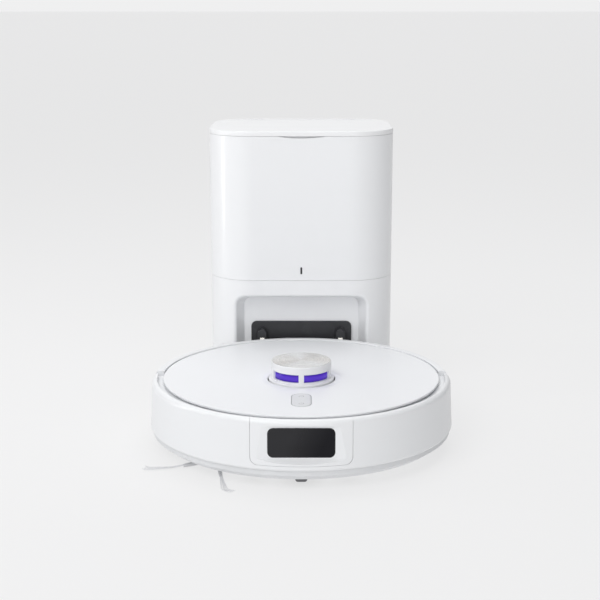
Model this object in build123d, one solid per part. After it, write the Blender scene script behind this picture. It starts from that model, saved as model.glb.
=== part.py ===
from build123d import *
import math
import os

# Robot vacuum parked in its self-emptying dock.
# Millimetres, +Z up. The origin is on the floor, at the centre of the dock's sole pad.
# The robot backs into the dock along +Y, so its front looks along -Y.
# Robot pieces are drawn about the robot's own vertical axis and moved to ROBOT_Y at the end.

# ---- clearances -------------------------------------------------------------------------
SEAM = 0.3              # gap between two covers of one body
RUNNING = 0.05          # radial gap of a shaft in its bore
SLIP = 0.4              # gap round a piece that slides or drops in
SWING = 1.2             # gap round a piece that swings or spins

# ---- robot: outside ---------------------------------------------------------------------
BUMPER_R = 175.6        # largest radius, at the bumper's lower lip
BUMPER_TAPER = 2.2      # how much the bumper's top is drawn in
BUMPER_T = 4.0
BUMPER_Z0 = 22.4
BUMPER_Z1 = 77.5
BUMPER_ROUND = 6.0      # radius of the bumper's top edge
BUMPER_LIP = 8.1        # the top lip reaches this far in from the largest radius
BUMPER_LIP_T = 2.2
BUMPER_LIP_CHAMFER = 1.4
BUMPER_TRAVEL = 4.0
COIL_R, COIL_WIRE, COIL_TURNS = 2.6, 0.45, 4
COIL_ANGLE, COIL_Z = 34.0, 52.0         # from straight ahead
BUMPER_END_Y = 8.0      # the bumper reaches this far behind the robot's axis
LIP_END_Y = 6.0

GROUND = 10.0           # underside of the chassis
FLOOR_T = 2.5
SKIRT_IN = 2.6          # the skirt stands this far inside the bumper's largest radius
SKIRT_Z0 = 16.6
SKIRT_Z1 = 21.8
SKIRT_CHAMFER = 9.0     # how far the underside's bevel runs in from the skirt
TUB_IN = 15.6           # the inner wall, front half
TUB_T = 2.5
TUB_Z1 = 30.0

REAR_IN = 4.8           # the rear wall
WALL = 2.5
DECK_Z = 73.0
DECK_LEDGE_IN = 8.6
GUARD_Z = 79.0          # top of the raised guard ring round the rear half
GUARD_INNER_IN = 14.3
GUARD_END_Y = 11.0
SHOULDER_Y = -8.0       # where the rear wall starts

COVER_IN = 15.6
COVER_Z = 78.0
COVER_T = 2.5
COVER_RIM_IN = 5.0      # the stiffening rim, in from the cover's edge
COVER_RIM_T = 3.0
COVER_EDGE = 0.8

# ---- robot: front panel and window ------------------------------------------------------
PANEL_HALF = 54.0
PANEL_Z0 = 28.0
PANEL_CORNER = 8.0
PANEL_INNER_IN = 10.4
FACET_IN = 7.0          # the flat behind the window, in from the bumper's largest radius
FACET_TOP, FACET_BOTTOM = 69.6, 34.4
BROW_RISE, CHIN_DROP = 3.4, 7.0
FACET_REACH = 10.0      # the scoop's walls are drawn this far in front of the flat
WINDOW_W = 70.6
WINDOW_Z0, WINDOW_Z1 = 36.0, 67.8
WINDOW_CORNER = 6.0
WINDOW_T = 2.0
WINDOW_PROUD = 0.3
LENS_X = (-22.0, 0.0, 22.0)
LENS_R = (5.0, 7.0, 5.0)
CAMERA_W, CAMERA_D, CAMERA_H = 62.0, 11.0, 24.0

# ---- robot: turret ----------------------------------------------------------------------
TURRET_Y = -12.3
TURRET_R = 34.6
TURRET_WALL = 2.4
TURRET_TOP = 99.0
TURRET_BAND_Z = 90.2    # window tops
TURRET_SILL_Z = 80.9    # window bottoms
COLLAR_OUT = 3.4        # the collar, the tray and the pulley stand outside the turret
COLLAR_Z0 = 74.2
COLLAR_Z1 = 79.2
TURRET_FOOT_Z = 73.5
PILLARS = 5
PILLAR_HALF_DEG = 5.0
CAP_IN = 1.0
CAP_T = 1.3
DISH_OUT = 9.0          # the dish, out from the collar
DISH_DEPTH = 1.3
DISH_SHIFT = 5.5
SCANNER_IN = 5.1
SCANNER_Z0, SCANNER_Z1 = 72.0, 92.5
WAIST_IN, SCANNER_WAIST_Z0 = 5.5, 65.0
SPINDLE_R = 4.0
TRAY_Z = 58.0
TRAY_T = 2.5
TRAY_OUT = 8.4
BELT_Z, BELT_H, BELT_T = 66.5, 3.0, 1.2
PULLEY_R = 5.0
PULLEY_OUT = 3.4        # the belt's pulley, out from the turret's wall
PULLEY_SWING = 46.6     # a wider turret puts the pulley less far round, clear of the suction fan
SCANNER_MOTOR_R, SCANNER_MOTOR_H = 10.0, 13.0

# ---- robot: buttons ---------------------------------------------------------------------
PILL_W = 21.0
PILL_FRONT_Y, PILL_REAR_Y = -125.0, -78.0
BUTTON_GAP = 0.4
BUTTON_PROUD = 0.3
BUTTON_DEPTH = 9.0
FLANGE_T, FLANGE_OUT = 1.2, 1.5

# ---- robot: drive wheels ----------------------------------------------------------------
WHEEL_R = 33.0
TYRE_T = 5.0
TYRE_W = 19.0
TREADS = 30
TREAD_DEPTH = 1.6
TREAD_W = 2.4
WHEEL_X0 = 110.5        # inner face of the tyre
ARM_PIVOT_OUT, ARM_PIVOT_RISE = 13.0, 1.0      # from the tyre and its axle
ARM_X0, ARM_X1 = 90.0, 108.0
ARM_R = 16.0
TRUNNION_R = 3.0
LUG_T = 4.0
AXLE_R = 4.0
HUB_WEB_T = 5.0
SPOKES = 6
MOTOR_R, MOTOR_RISE = 8.0, 5.0
MOTOR_Y0, MOTOR_Y1 = -22.0, -10.0
SPRING_R = 4.6
SPRING_WIRE = 0.6
SPRING_TURNS = 3

# ---- robot: caster ----------------------------------------------------------------------
CASTER_SETBACK = 38.6   # swivel axis, in from the bumper's radius
CASTER_TRAIL = 6.0
CASTER_R = 13.0
CASTER_W = 13.0
CASTER_SWEEP = 20.5
CASTER_CHEEK = 2.5
CASTER_AXLE_R = 2.0
CASTER_STEM_R = 4.0
CASTER_ROOF_Z = 33.0
CASTER_TOP_Z = 31.0
CASTER_BOSS_Z = 45.0

# ---- robot: brushes ---------------------------------------------------------------------
BRUSH_Y, BRUSH_Z = -22.0, 19.0
BRUSH_R, BRUSH_CORE_R = 15.6, 9.0      # the side brush passes under it
BRUSH_HALF = 74.0
BRUSH_FINS = 6
BRUSH_FIN_T = 3.0
WELL_R = 20.6
WELL_ROOM = 3.0         # between the brush's end and the well's
WELL_T = 2.5
GUARD_T = 2.3
GUARD_FRAME_W = 6.0
JOURNAL_R, JOURNAL_L = 3.5, 4.5
GEARBOX_T, GEARBOX_MOTOR_R = 3.9, 9.0
CHANNEL_HALF, CHANNEL_Z0, CHANNEL_Z1 = 28.0, 24.0, 42.0

SIDE_SETBACK = 42.0     # side brush hub, in from the bumper's radius
SIDE_ANGLE = 226.2
SIDE_ARM_L = 85.0       # stops short of the drive wheel and the caster
SIDE_ARMS = 4
SIDE_FIRST_DEG = 8.6
SIDE_HUB_R, SIDE_HUB_Z0, SIDE_HUB_Z1 = 10.0, 4.2, 9.2
SIDE_MOTOR_R, SIDE_MOTOR_H = 13.5, 26.0
SIDE_SHAFT_R = 2.5
SLEEVE_L, SLEEVE_R = 30.0, 2.4
SOCKET_L, SOCKET_T = 4.0, 0.9
SLEEVE_DROP, TUFT_OVERLAP = 3.0, 4.0
TUFT_R, TUFT_TIP_R = 1.1, 0.8
TUFT_LIE_X, TUFT_LIE_Z = 52.0, 1.4

# ---- robot: dust path -------------------------------------------------------------------
BIN_HALF = 70.0
BIN_Y0, BIN_Y1 = 58.0, 138.0
BIN_Z0, BIN_Z1 = 14.0, 72.6
BIN_T = 2.0
BIN_FLANGE, FLANGE_H, LEDGE_DEPTH = 4.0, 1.1, 1.8
BIN_GRIP_W, BIN_GRIP_D, BIN_GRIP_H = 52.0, 20.0, 9.0
FILTER_W, FILTER_H, FILTER_T = 44.0, 34.0, 8.0
FILTER_X, FILTER_Z = 47.0, 40.0
PLEATS = 11
PORT_HALF, PORT_Z0, PORT_Z1 = 32.0, 27.0, 57.0
PORT_T = 2.0
FLAP_T = 1.8
FLAP_PIN_R = 1.4
FAN_X, FAN_Y, FAN_R = 57.5, 30.5, 25.5
FAN_Z0, FAN_Z1 = 13.0, 56.0
FAN_T = 2.0
FAN_FLOOR_Z = 38.0
FAN_EYE_R = 12.0
IMPELLER_R, IMPELLER_H, IMPELLER_HUB_R = 20.0, 9.0, 6.0
BLADES = 9

# ---- robot: electrics -------------------------------------------------------------------
BATTERY_W, BATTERY_D, BATTERY_H = 144.0, 56.0, 22.0
BATTERY_X, BATTERY_Y = 14.0, -84.0
BOARD_W, BOARD_D, BOARD_T, BOARD_Z = 120.0, 60.0, 1.6, 44.0
STRIP_W, STRIP_H, STRIP_T = 10.0, 20.0, 0.8
STRIP_Z = 64.0
CLIFF_ANGLES = (196.0, 250.0, 290.0, 344.0)
CLIFF_W, CLIFF_D, CLIFF_H = 22.0, 9.0, 9.0
CLIFF_SETBACK = 27.0
SCREW_R, SCREW_HEAD_R, SCREW_HEAD_T, SCREW_L = 1.5, 3.0, 1.8, 9.0
SCREW_ANGLES = (38.0, 142.0, 209.0, 255.0, 285.0, 318.0)
SCREW_BOSS_R, SCREW_BOSS_H = 4.0, 10.0
SCREW_SETBACK = 24.0

# ---- dock: outside ----------------------------------------------------------------------
COLUMN_W, COLUMN_D, COLUMN_CORNER = 236.0, 195.0, 57.0
SHELL_T = 3.0
BASE_Z0, BASE_Z1 = 1.5, 7.0
TONGUE_HALF, TONGUE_L, TONGUE_T, TONGUE_CORNER = 70.0, 72.0, 3.5, 16.0
SPLIT_Z = 156.0         # seam between the lower and the upper housing
RIM_Z = 339.0           # seam under the lid
LID_T = 6.0
LID_EDGE = 1.6
LID_SKIRT_H, LID_SKIRT_T = 4.0, 2.0
LID_BRIDGE = 17.5       # depth of the fixed strip behind the lid
KNUCKLE_R, KNUCKLE_W, KNUCKLE_X = 2.4, 22.0, 62.0
KNUCKLE_ROOM = 4.2      # how far the lid is cut back round a knuckle
HINGE_PIN_R = 1.3
NOTCH_HALF, NOTCH_DEPTH = 30.0, 2.4
LIGHT_W, LIGHT_Z0, LIGHT_Z1, LIGHT_T = 2.3, 164.2, 173.2, 2.0

# ---- dock: recess, contacts and inlet ---------------------------------------------------
RECESS_D = 22.0
RECESS_HALF, RECESS_Z, RECESS_CORNER = 88.0, 135.0, 15.0
RECESS_BACK_HALF, RECESS_BACK_Z, RECESS_BACK_CORNER = 74.0, 130.0, 10.0
RECESS_EDGE = 4.0
PLATE_W, PLATE_Z0, PLATE_Z1, PLATE_CORNER, PLATE_T = 130.0, 8.5, 98.0, 7.0, 2.5
DOCKED_GAP = 10.7       # between the robot's rear wall and the contact plate
POST_X, POST_W, POST_Z0, POST_Z1 = 50.5, 12.0, 46.0, 90.0
CONTACT_W, CONTACT_Z0, CONTACT_Z1, CONTACT_T = 5.6, 54.0, 79.0, 1.2
CONTACT_REACH = 4.0
CONTACT_SHORT = 1.336    # from a contact's tip to the robot's rear wall
CONTACT_TRAVEL = 2.5
INLET_HALF, INLET_Z0, INLET_Z1 = 35.0, 23.0, 61.0
SEAL_T, SEAL_OUT = 3.0, 9.5
DUCT_T = 2.0
DUCT_Y = -30.0          # centre of the rising part of the duct
DUCT_D = 36.0

# ---- dock: inside -----------------------------------------------------------------------
SHELF_T = 3.0
DOCK_FAN_X, DOCK_FAN_Y, DOCK_FAN_R = 42.0, 44.0, 40.0
DOCK_FAN_Z0, DOCK_FAN_Z1 = 12.0, 148.0
DOCK_FAN_FLOOR_Z = 112.0
DOCK_EYE_R = 18.0
DOCK_IMPELLER_R, DOCK_IMPELLER_H, DOCK_IMPELLER_HUB_R = 33.0, 16.0, 9.0
BAG_W, BAG_D, BAG_H, BAG_CORNER = 196.0, 152.0, 140.0, 44.0
BAG_LIFT = 5.0
COLLAR_W, COLLAR_D, COLLAR_T = 96.0, 62.0, 2.5
DOCK_BOARD_W, DOCK_BOARD_H, DOCK_BOARD_T = 62.0, 84.0, 1.6
DOCK_BOARD_X, DOCK_BOARD_Y, DOCK_BOARD_Z = -60.0, 60.0, 24.0
INLET_X, INLET_Z, INLET_W, INLET_H, INLET_DEPTH = -42.0, 26.0, 28.0, 20.0, 20.0
FOOT_R, FOOT_INSET = 9.0, 42.0
SOLE_W, SOLE_D = 70.0, 50.0
VENT_N, VENT_W, VENT_H, VENT_PITCH = 11, 3.0, 42.0, 8.0

# ---- worked out -------------------------------------------------------------------------
COLLAR_R = TURRET_R + COLLAR_OUT
CAP_R = TURRET_R - CAP_IN
DISH_R = COLLAR_R + DISH_OUT
SCANNER_R = TURRET_R - SCANNER_IN
SCANNER_WAIST_R = SCANNER_R - WAIST_IN
TRAY_R = TURRET_R + TRAY_OUT
PULLEY_X = TURRET_R + PULLEY_OUT
PULLEY_Y = PULLEY_SWING - TURRET_R
ARM_PIVOT_Y = WHEEL_R + ARM_PIVOT_OUT
ARM_PIVOT_Z = WHEEL_R + ARM_PIVOT_RISE
WELL_HALF = BRUSH_HALF + WELL_ROOM
BUMPER_TOP_R = BUMPER_R - BUMPER_TAPER
BUMPER_INNER_R = BUMPER_R - BUMPER_T
BUMPER_LIP_R = BUMPER_R - BUMPER_LIP
SKIRT_R = BUMPER_R - SKIRT_IN
TUB_R = BUMPER_R - TUB_IN
REAR_R = BUMPER_R - REAR_IN
REAR_BOW = REAR_R - math.sqrt(REAR_R ** 2 - POST_X ** 2)     # how far the rear wall has curved away there
POST_D = DOCKED_GAP + REAR_BOW - CONTACT_REACH - CONTACT_SHORT
DECK_LEDGE_R = BUMPER_R - DECK_LEDGE_IN
GUARD_INNER_R = BUMPER_R - GUARD_INNER_IN
COVER_R = BUMPER_R - COVER_IN
COVER_RIM_R = COVER_R - COVER_RIM_IN
PANEL_INNER_R = BUMPER_R - PANEL_INNER_IN
FACET_Y = BUMPER_R - FACET_IN
COLUMN_FRONT = -COLUMN_D / 2
RECESS_BACK_Y = COLUMN_FRONT + RECESS_D
PLATE_Y = RECESS_BACK_Y - PLATE_T
ROBOT_Y = PLATE_Y - DOCKED_GAP - REAR_R
CASTER_Y = -(BUMPER_R - CASTER_SETBACK)
SIDE_X = (BUMPER_R - SIDE_SETBACK) * math.cos(math.radians(SIDE_ANGLE))
SIDE_Y = (BUMPER_R - SIDE_SETBACK) * math.sin(math.radians(SIDE_ANGLE))
HINGE_Y = COLUMN_D / 2 - LID_BRIDGE
HINGE_Z = RIM_Z + SEAM + LID_T / 2
LID_TOP = RIM_Z + SEAM + LID_T
COVER_UNDER = COVER_Z - COVER_T
DECK_T = WALL
FLAP_Y = REAR_R - WALL - 4.5
FLAP_Z = PORT_Z1 - FLAP_PIN_R - 0.6
CAMERA_Y = -FACET_Y + WINDOW_T + BUMPER_TRAVEL + 0.8


# ---- helpers ----------------------------------------------------------------------------
def block(x0, x1, y0, y1, z0, z1):
    centre = Pos((x0 + x1) / 2, (y0 + y1) / 2, (z0 + z1) / 2)
    return centre * Box(abs(x1 - x0), abs(y1 - y0), abs(z1 - z0))


def disc(r, z0, z1, x=0.0, y=0.0):
    return Pos(x, y, (z0 + z1) / 2) * Cylinder(r, z1 - z0)


def ring(r_out, r_in, z0, z1, x=0.0, y=0.0):
    return disc(r_out, z0, z1, x, y) - disc(r_in, z0 - 1, z1 + 1, x, y)


def rod_x(r, x0, x1, y, z):
    return Pos((x0 + x1) / 2, y, z) * Rot(0, 90, 0) * Cylinder(r, abs(x1 - x0))


def rod_y(r, y0, y1, x, z):
    return Pos(x, (y0 + y1) / 2, z) * Rot(90, 0, 0) * Cylinder(r, abs(y1 - y0))


def pad(w, d, corner, z0, z1, x=0.0, y=0.0):
    """A rounded rectangle standing from z0 to z1."""
    return Pos(x, y, z0) * extrude(RectangleRounded(w, d, corner), z1 - z0)


def upright(w, z0, z1, corner, y0, y1, x=0.0):
    """A rounded rectangle in the XZ plane, reaching from y0 back to y1."""
    face = Pos(x, y1, (z0 + z1) / 2) * Rot(90, 0, 0) * RectangleRounded(w, z1 - z0, corner)
    return extrude(face, y1 - y0, dir=(0, -1, 0))


def turned(*outline):
    """A solid of revolution about Z from (radius, height) points; a tuple of three is an arc's middle."""
    edges = []
    here = outline[0]
    middle = None
    for point in (*outline[1:], outline[0]):
        if len(point) == 3:
            middle = point
            continue
        start, end = (here[0], 0, here[1]), (point[0], 0, point[1])
        if middle:
            edges.append(ThreePointArc(start, (middle[0], 0, middle[1]), end))
        else:
            edges.append(Line(start, end))
        here, middle = point, None
    return revolve(make_face(edges), Axis.Z)


def quarter(cx, cz, r):
    """The middle of a convex quarter arc that bulges outwards and upwards."""
    return (cx + r * math.sqrt(0.5), cz + r * math.sqrt(0.5), "arc")


def spring(r, wire, turns, z0, z1, x, y):
    """An open coil with plain ends."""
    path = Helix((z1 - z0 - 2 * wire) / turns, z1 - z0 - 2 * wire, r)
    start = Plane(path @ 0, z_dir=path % 0)
    coil = sweep(start * Circle(wire), path)
    return Pos(x, y, z0 + wire) * coil


def impeller(r, hub_r, z0, height, x, y):
    """A closed-back fan wheel with straight radial blades."""
    back = disc(r, z0, z0 + 1.5, x, y)
    hub = disc(hub_r, z0, z0 + height, x, y)
    wheel = back + hub
    for i in range(BLADES):
        blade = block(hub_r - 1, r, -0.6, 0.6, z0 + 1, z0 + height)
        wheel += Pos(x, y, 0) * Rot(0, 0, 360 * i / BLADES) * blade
    return wheel - disc(RUNNING + 1.5, z0 - 1, z0 + height + 1, x, y)


def front_half(reach, end_y):
    """A block that holds everything in front of end_y."""
    return block(-reach, reach, -reach, end_y, -reach, reach)


REACH = 2 * BUMPER_R


# ---- robot: outside covers --------------------------------------------------------------
def bumper_outline():
    r = BUMPER_ROUND
    return turned(
        (BUMPER_INNER_R, BUMPER_Z0), (BUMPER_R - 1.2, BUMPER_Z0), (BUMPER_R, BUMPER_Z0 + 2.0),
        (BUMPER_TOP_R, BUMPER_Z1 - r), quarter(BUMPER_TOP_R - r, BUMPER_Z1 - r, r),
        (BUMPER_TOP_R - r, BUMPER_Z1), (BUMPER_LIP_R - 0.6, BUMPER_Z1 - 0.6),
        (BUMPER_LIP_R - 0.6, BUMPER_Z1 - BUMPER_LIP_T), (BUMPER_INNER_R - BUMPER_LIP_CHAMFER,
                                                         BUMPER_Z1 - BUMPER_LIP_T),
        (BUMPER_INNER_R, BUMPER_Z1 - BUMPER_LIP_T - BUMPER_LIP_CHAMFER))


def panel_window(grow):
    """The space of the front panel, with its two round lower corners."""
    half, z0 = PANEL_HALF + grow, PANEL_Z0 - grow
    top = BUMPER_Z1 + 20
    return upright(2 * half, z0, top, PANEL_CORNER, -REACH, -PANEL_INNER_R / 2)


def bumper_shell():
    shell = bumper_outline() & front_half(REACH, BUMPER_END_Y)
    lip_zone = block(-REACH, REACH, LIP_END_Y, REACH, BUMPER_Z1 - BUMPER_ROUND, REACH)
    return shell - lip_zone - panel_window(SEAM)


def bumper_panel():
    skin = bumper_outline()
    backing = ring(BUMPER_INNER_R + 0.5, PANEL_INNER_R, PANEL_Z0 + 2, DECK_Z - DECK_T - 1.0)
    panel = (skin + backing) & panel_window(0)
    panel -= scoop()
    panel -= window_space(SEAM)
    tabs = ring(BUMPER_INNER_R - SEAM, BUMPER_INNER_R - SEAM - 2.2, 36, 62)
    tabs &= block(-PANEL_HALF - 9, PANEL_HALF + 9, -REACH, 0, 0, 100)
    tabs -= block(-PANEL_HALF + 4, PANEL_HALF - 4, -REACH, 0, 0, 100)
    return panel + tabs


def scoop():
    """The shallow flat pressed into the panel round the window."""
    profile = Polyline(
        (0, -FACET_Y - FACET_REACH, FACET_TOP + BROW_RISE), (0, -FACET_Y, FACET_TOP),
        (0, -FACET_Y, FACET_BOTTOM), (0, -FACET_Y - FACET_REACH, FACET_BOTTOM - CHIN_DROP),
        close=True)
    return extrude(make_face(profile), PANEL_HALF + 8, both=True, dir=(1, 0, 0))


def window_space(grow):
    return upright(WINDOW_W + 2 * grow, WINDOW_Z0 - grow, WINDOW_Z1 + grow, WINDOW_CORNER + grow,
                   -FACET_Y - 1 - grow, -FACET_Y + WINDOW_T + grow) + camera_space(grow)


def camera_space(grow):
    """Room behind the window for the camera module to look out."""
    half, height = CAMERA_W / 2 + 1 + grow, CAMERA_H / 2 + 1 + grow
    middle = (WINDOW_Z0 + WINDOW_Z1) / 2
    return block(-half, half, -FACET_Y, -PANEL_INNER_R / 2, middle - height, middle + height)


def sensor_window():
    pane = upright(WINDOW_W, WINDOW_Z0, WINDOW_Z1, WINDOW_CORNER,
                   -FACET_Y - WINDOW_PROUD, -FACET_Y + WINDOW_T)
    front = pane.edges().group_by(Axis.Y)[0]
    return fillet(front, WINDOW_PROUD * 0.9)


def front_camera():
    middle = (WINDOW_Z0 + WINDOW_Z1) / 2
    y0, y1 = CAMERA_Y, CAMERA_Y + CAMERA_D
    half_w, half_h = CAMERA_W / 2, CAMERA_H / 2
    body = block(-half_w, half_w, y1 - 3.0, y1, middle - half_h, middle + half_h)
    for x, r in zip(LENS_X, LENS_R):
        barrel = rod_y(r, y0, y1 - 2, x, middle) - rod_y(r - 1.5, y0 - 1, y0 + 1.2, x, middle)
        body += barrel
    return body


def bumper_springs():
    """Two coils between the tub's wall and the bumper, lying along Y."""
    coils = []
    wide = COIL_R + COIL_WIRE
    x = TUB_R * math.sin(math.radians(COIL_ANGLE))
    y_wall = -math.sqrt(TUB_R ** 2 - (x - wide) ** 2) - SEAM
    y_bumper = -math.sqrt(BUMPER_INNER_R ** 2 - (x + wide) ** 2) + SEAM
    for side in (-1, 1):
        coil = spring(COIL_R, COIL_WIRE, COIL_TURNS, 0, y_wall - y_bumper, 0, 0)
        coils.append(Pos(side * x, y_wall, COIL_Z) * Rot(90, 0, 0) * coil)
    return Compound(children=coils)


# ---- robot: chassis and body ------------------------------------------------------------
def wheel_well(side, grow=0.0):
    x0, x1 = ARM_X0 - 2 - grow, WHEEL_X0 + TYRE_W + 3.5 + grow
    y0, y1 = -WHEEL_R - 6 - grow, ARM_PIVOT_Y + 9 + grow
    return block(side * x0, side * x1, y0, y1, 0, TUB_Z1 + 200)


def brush_well_box(grow):
    half = WELL_HALF + grow
    return block(-half, half, BRUSH_Y - WELL_R - grow, BRUSH_Y + WELL_R + grow, GROUND, BRUSH_Z)


def brush_well(grow):
    """The round-roofed space that the main brush turns in."""
    half = WELL_HALF + grow
    roof = rod_x(WELL_R + grow, -half, half, BRUSH_Y, BRUSH_Z)
    return (roof & block(-half, half, -REACH, REACH, GROUND, REACH)) + brush_well_box(grow)


def chassis_base():
    tub = turned(
        (0, GROUND), (SKIRT_R - SKIRT_CHAMFER, GROUND), (SKIRT_R, SKIRT_Z0), (SKIRT_R, SKIRT_Z1),
        (TUB_R, SKIRT_Z1), (TUB_R, TUB_Z1), (TUB_R - TUB_T, TUB_Z1), (TUB_R - TUB_T, GROUND + FLOOR_T),
        (0, GROUND + FLOOR_T))
    tub += brush_well(WELL_T)
    caster_wall = disc(CASTER_SWEEP + 2, GROUND, CASTER_ROOF_Z + 2.5, 0, CASTER_Y)
    caster_boss = disc(CASTER_STEM_R + 4, CASTER_ROOF_Z, CASTER_BOSS_Z, 0, CASTER_Y)
    tub += (caster_wall + caster_boss) & disc(TUB_R, GROUND, CASTER_BOSS_Z)
    channel_y0, channel_y1 = BRUSH_Y + WELL_R - 2, BIN_Y0 - SLIP
    tub += block(-CHANNEL_HALF - 2, CHANNEL_HALF + 2, channel_y0, channel_y1,
                 GROUND, CHANNEL_Z1 + 2)
    for x, y in tray_posts():
        tub += disc(3.2, BRUSH_Z + 8, TRAY_Z - SEAM, x, y)
    for x, y in screw_places():
        tub += disc(SCREW_BOSS_R, GROUND, GROUND + SCREW_BOSS_H, x, y)
    for side in (-1, 1):
        tub -= wheel_well(side)
        for x0 in (ARM_X0 - 2 - LUG_T, ARM_X1 + 1.5):
            tub += wheel_lug(side, x0)
    tub += side_motor_seat()
    tub -= brush_well(0)
    tub -= block(-WELL_HALF, WELL_HALF, BRUSH_Y - WELL_R, BRUSH_Y + WELL_R, GROUND - 5, GROUND + 4)
    tub -= block(-CHANNEL_HALF, CHANNEL_HALF, BRUSH_Y, channel_y1 + 1, CHANNEL_Z0, CHANNEL_Z1)
    reach = WELL_HALF + WELL_T + 1
    tub -= rod_x(JOURNAL_R + RUNNING, -reach, reach, BRUSH_Y, BRUSH_Z)
    tub -= disc(CASTER_SWEEP, GROUND - 5, CASTER_ROOF_Z, 0, CASTER_Y)
    tub -= disc(CASTER_STEM_R + RUNNING, GROUND, CASTER_BOSS_Z + 1, 0, CASTER_Y)
    tub -= disc(SIDE_HUB_R + SWING, GROUND - 5, GROUND + 1.2, SIDE_X, SIDE_Y)
    tub -= disc(SIDE_SHAFT_R + SWING, GROUND - 5, GROUND + 20, SIDE_X, SIDE_Y)
    gap = PORT_T + SEAM
    tub -= block(-PORT_HALF - gap, PORT_HALF + gap, BIN_Y1 + 2, TUB_R + 1, PORT_Z0 - gap, TUB_Z1 + 1)
    for angle in CLIFF_ANGLES:
        tub -= cliff_block(angle, SEAM)
    for x, y in screw_places():
        tub -= disc(SCREW_R + RUNNING, GROUND - 5, TUB_Z1, x, y)
        tub -= disc(SCREW_HEAD_R + 0.2, GROUND - 5, GROUND + SCREW_HEAD_T * 0.6, x, y)
    return tub


def wheel_lug(side, x0):
    lug = block(side * x0, side * (x0 + LUG_T), ARM_PIVOT_Y - 7, ARM_PIVOT_Y + 9.5,
                GROUND, ARM_PIVOT_Z + 7)
    return lug - rod_x(TRUNNION_R + RUNNING, side * (x0 - 1), side * (x0 + LUG_T + 1),
                       ARM_PIVOT_Y, ARM_PIVOT_Z)


def side_motor_seat():
    z0 = GROUND + FLOOR_T
    seat = ring(SIDE_MOTOR_R + 2.4, SIDE_MOTOR_R + SLIP, z0 - 0.5, z0 + 8, SIDE_X, SIDE_Y)
    return seat


def tray_posts():
    """Three posts under the scanner's tray, on the brush well's roof."""
    return ((-34.0, BRUSH_Y), (34.0, BRUSH_Y - 4), (0.0, BRUSH_Y + 2))


def polar(radius, degrees):
    angle = math.radians(degrees)
    return radius * math.cos(angle), radius * math.sin(angle)


def screw_places():
    return [polar(TUB_R - SCREW_SETBACK, angle) for angle in SCREW_ANGLES]


def cliff_block(angle, grow=0.0):
    x, y = polar(BUMPER_R - CLIFF_SETBACK, angle)
    cell = Box(CLIFF_W + 2 * grow, CLIFF_D + 2 * grow, CLIFF_H + 2 * grow)
    return Pos(x, y, GROUND + CLIFF_H / 2) * Rot(0, 0, angle + 90) * cell


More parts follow.
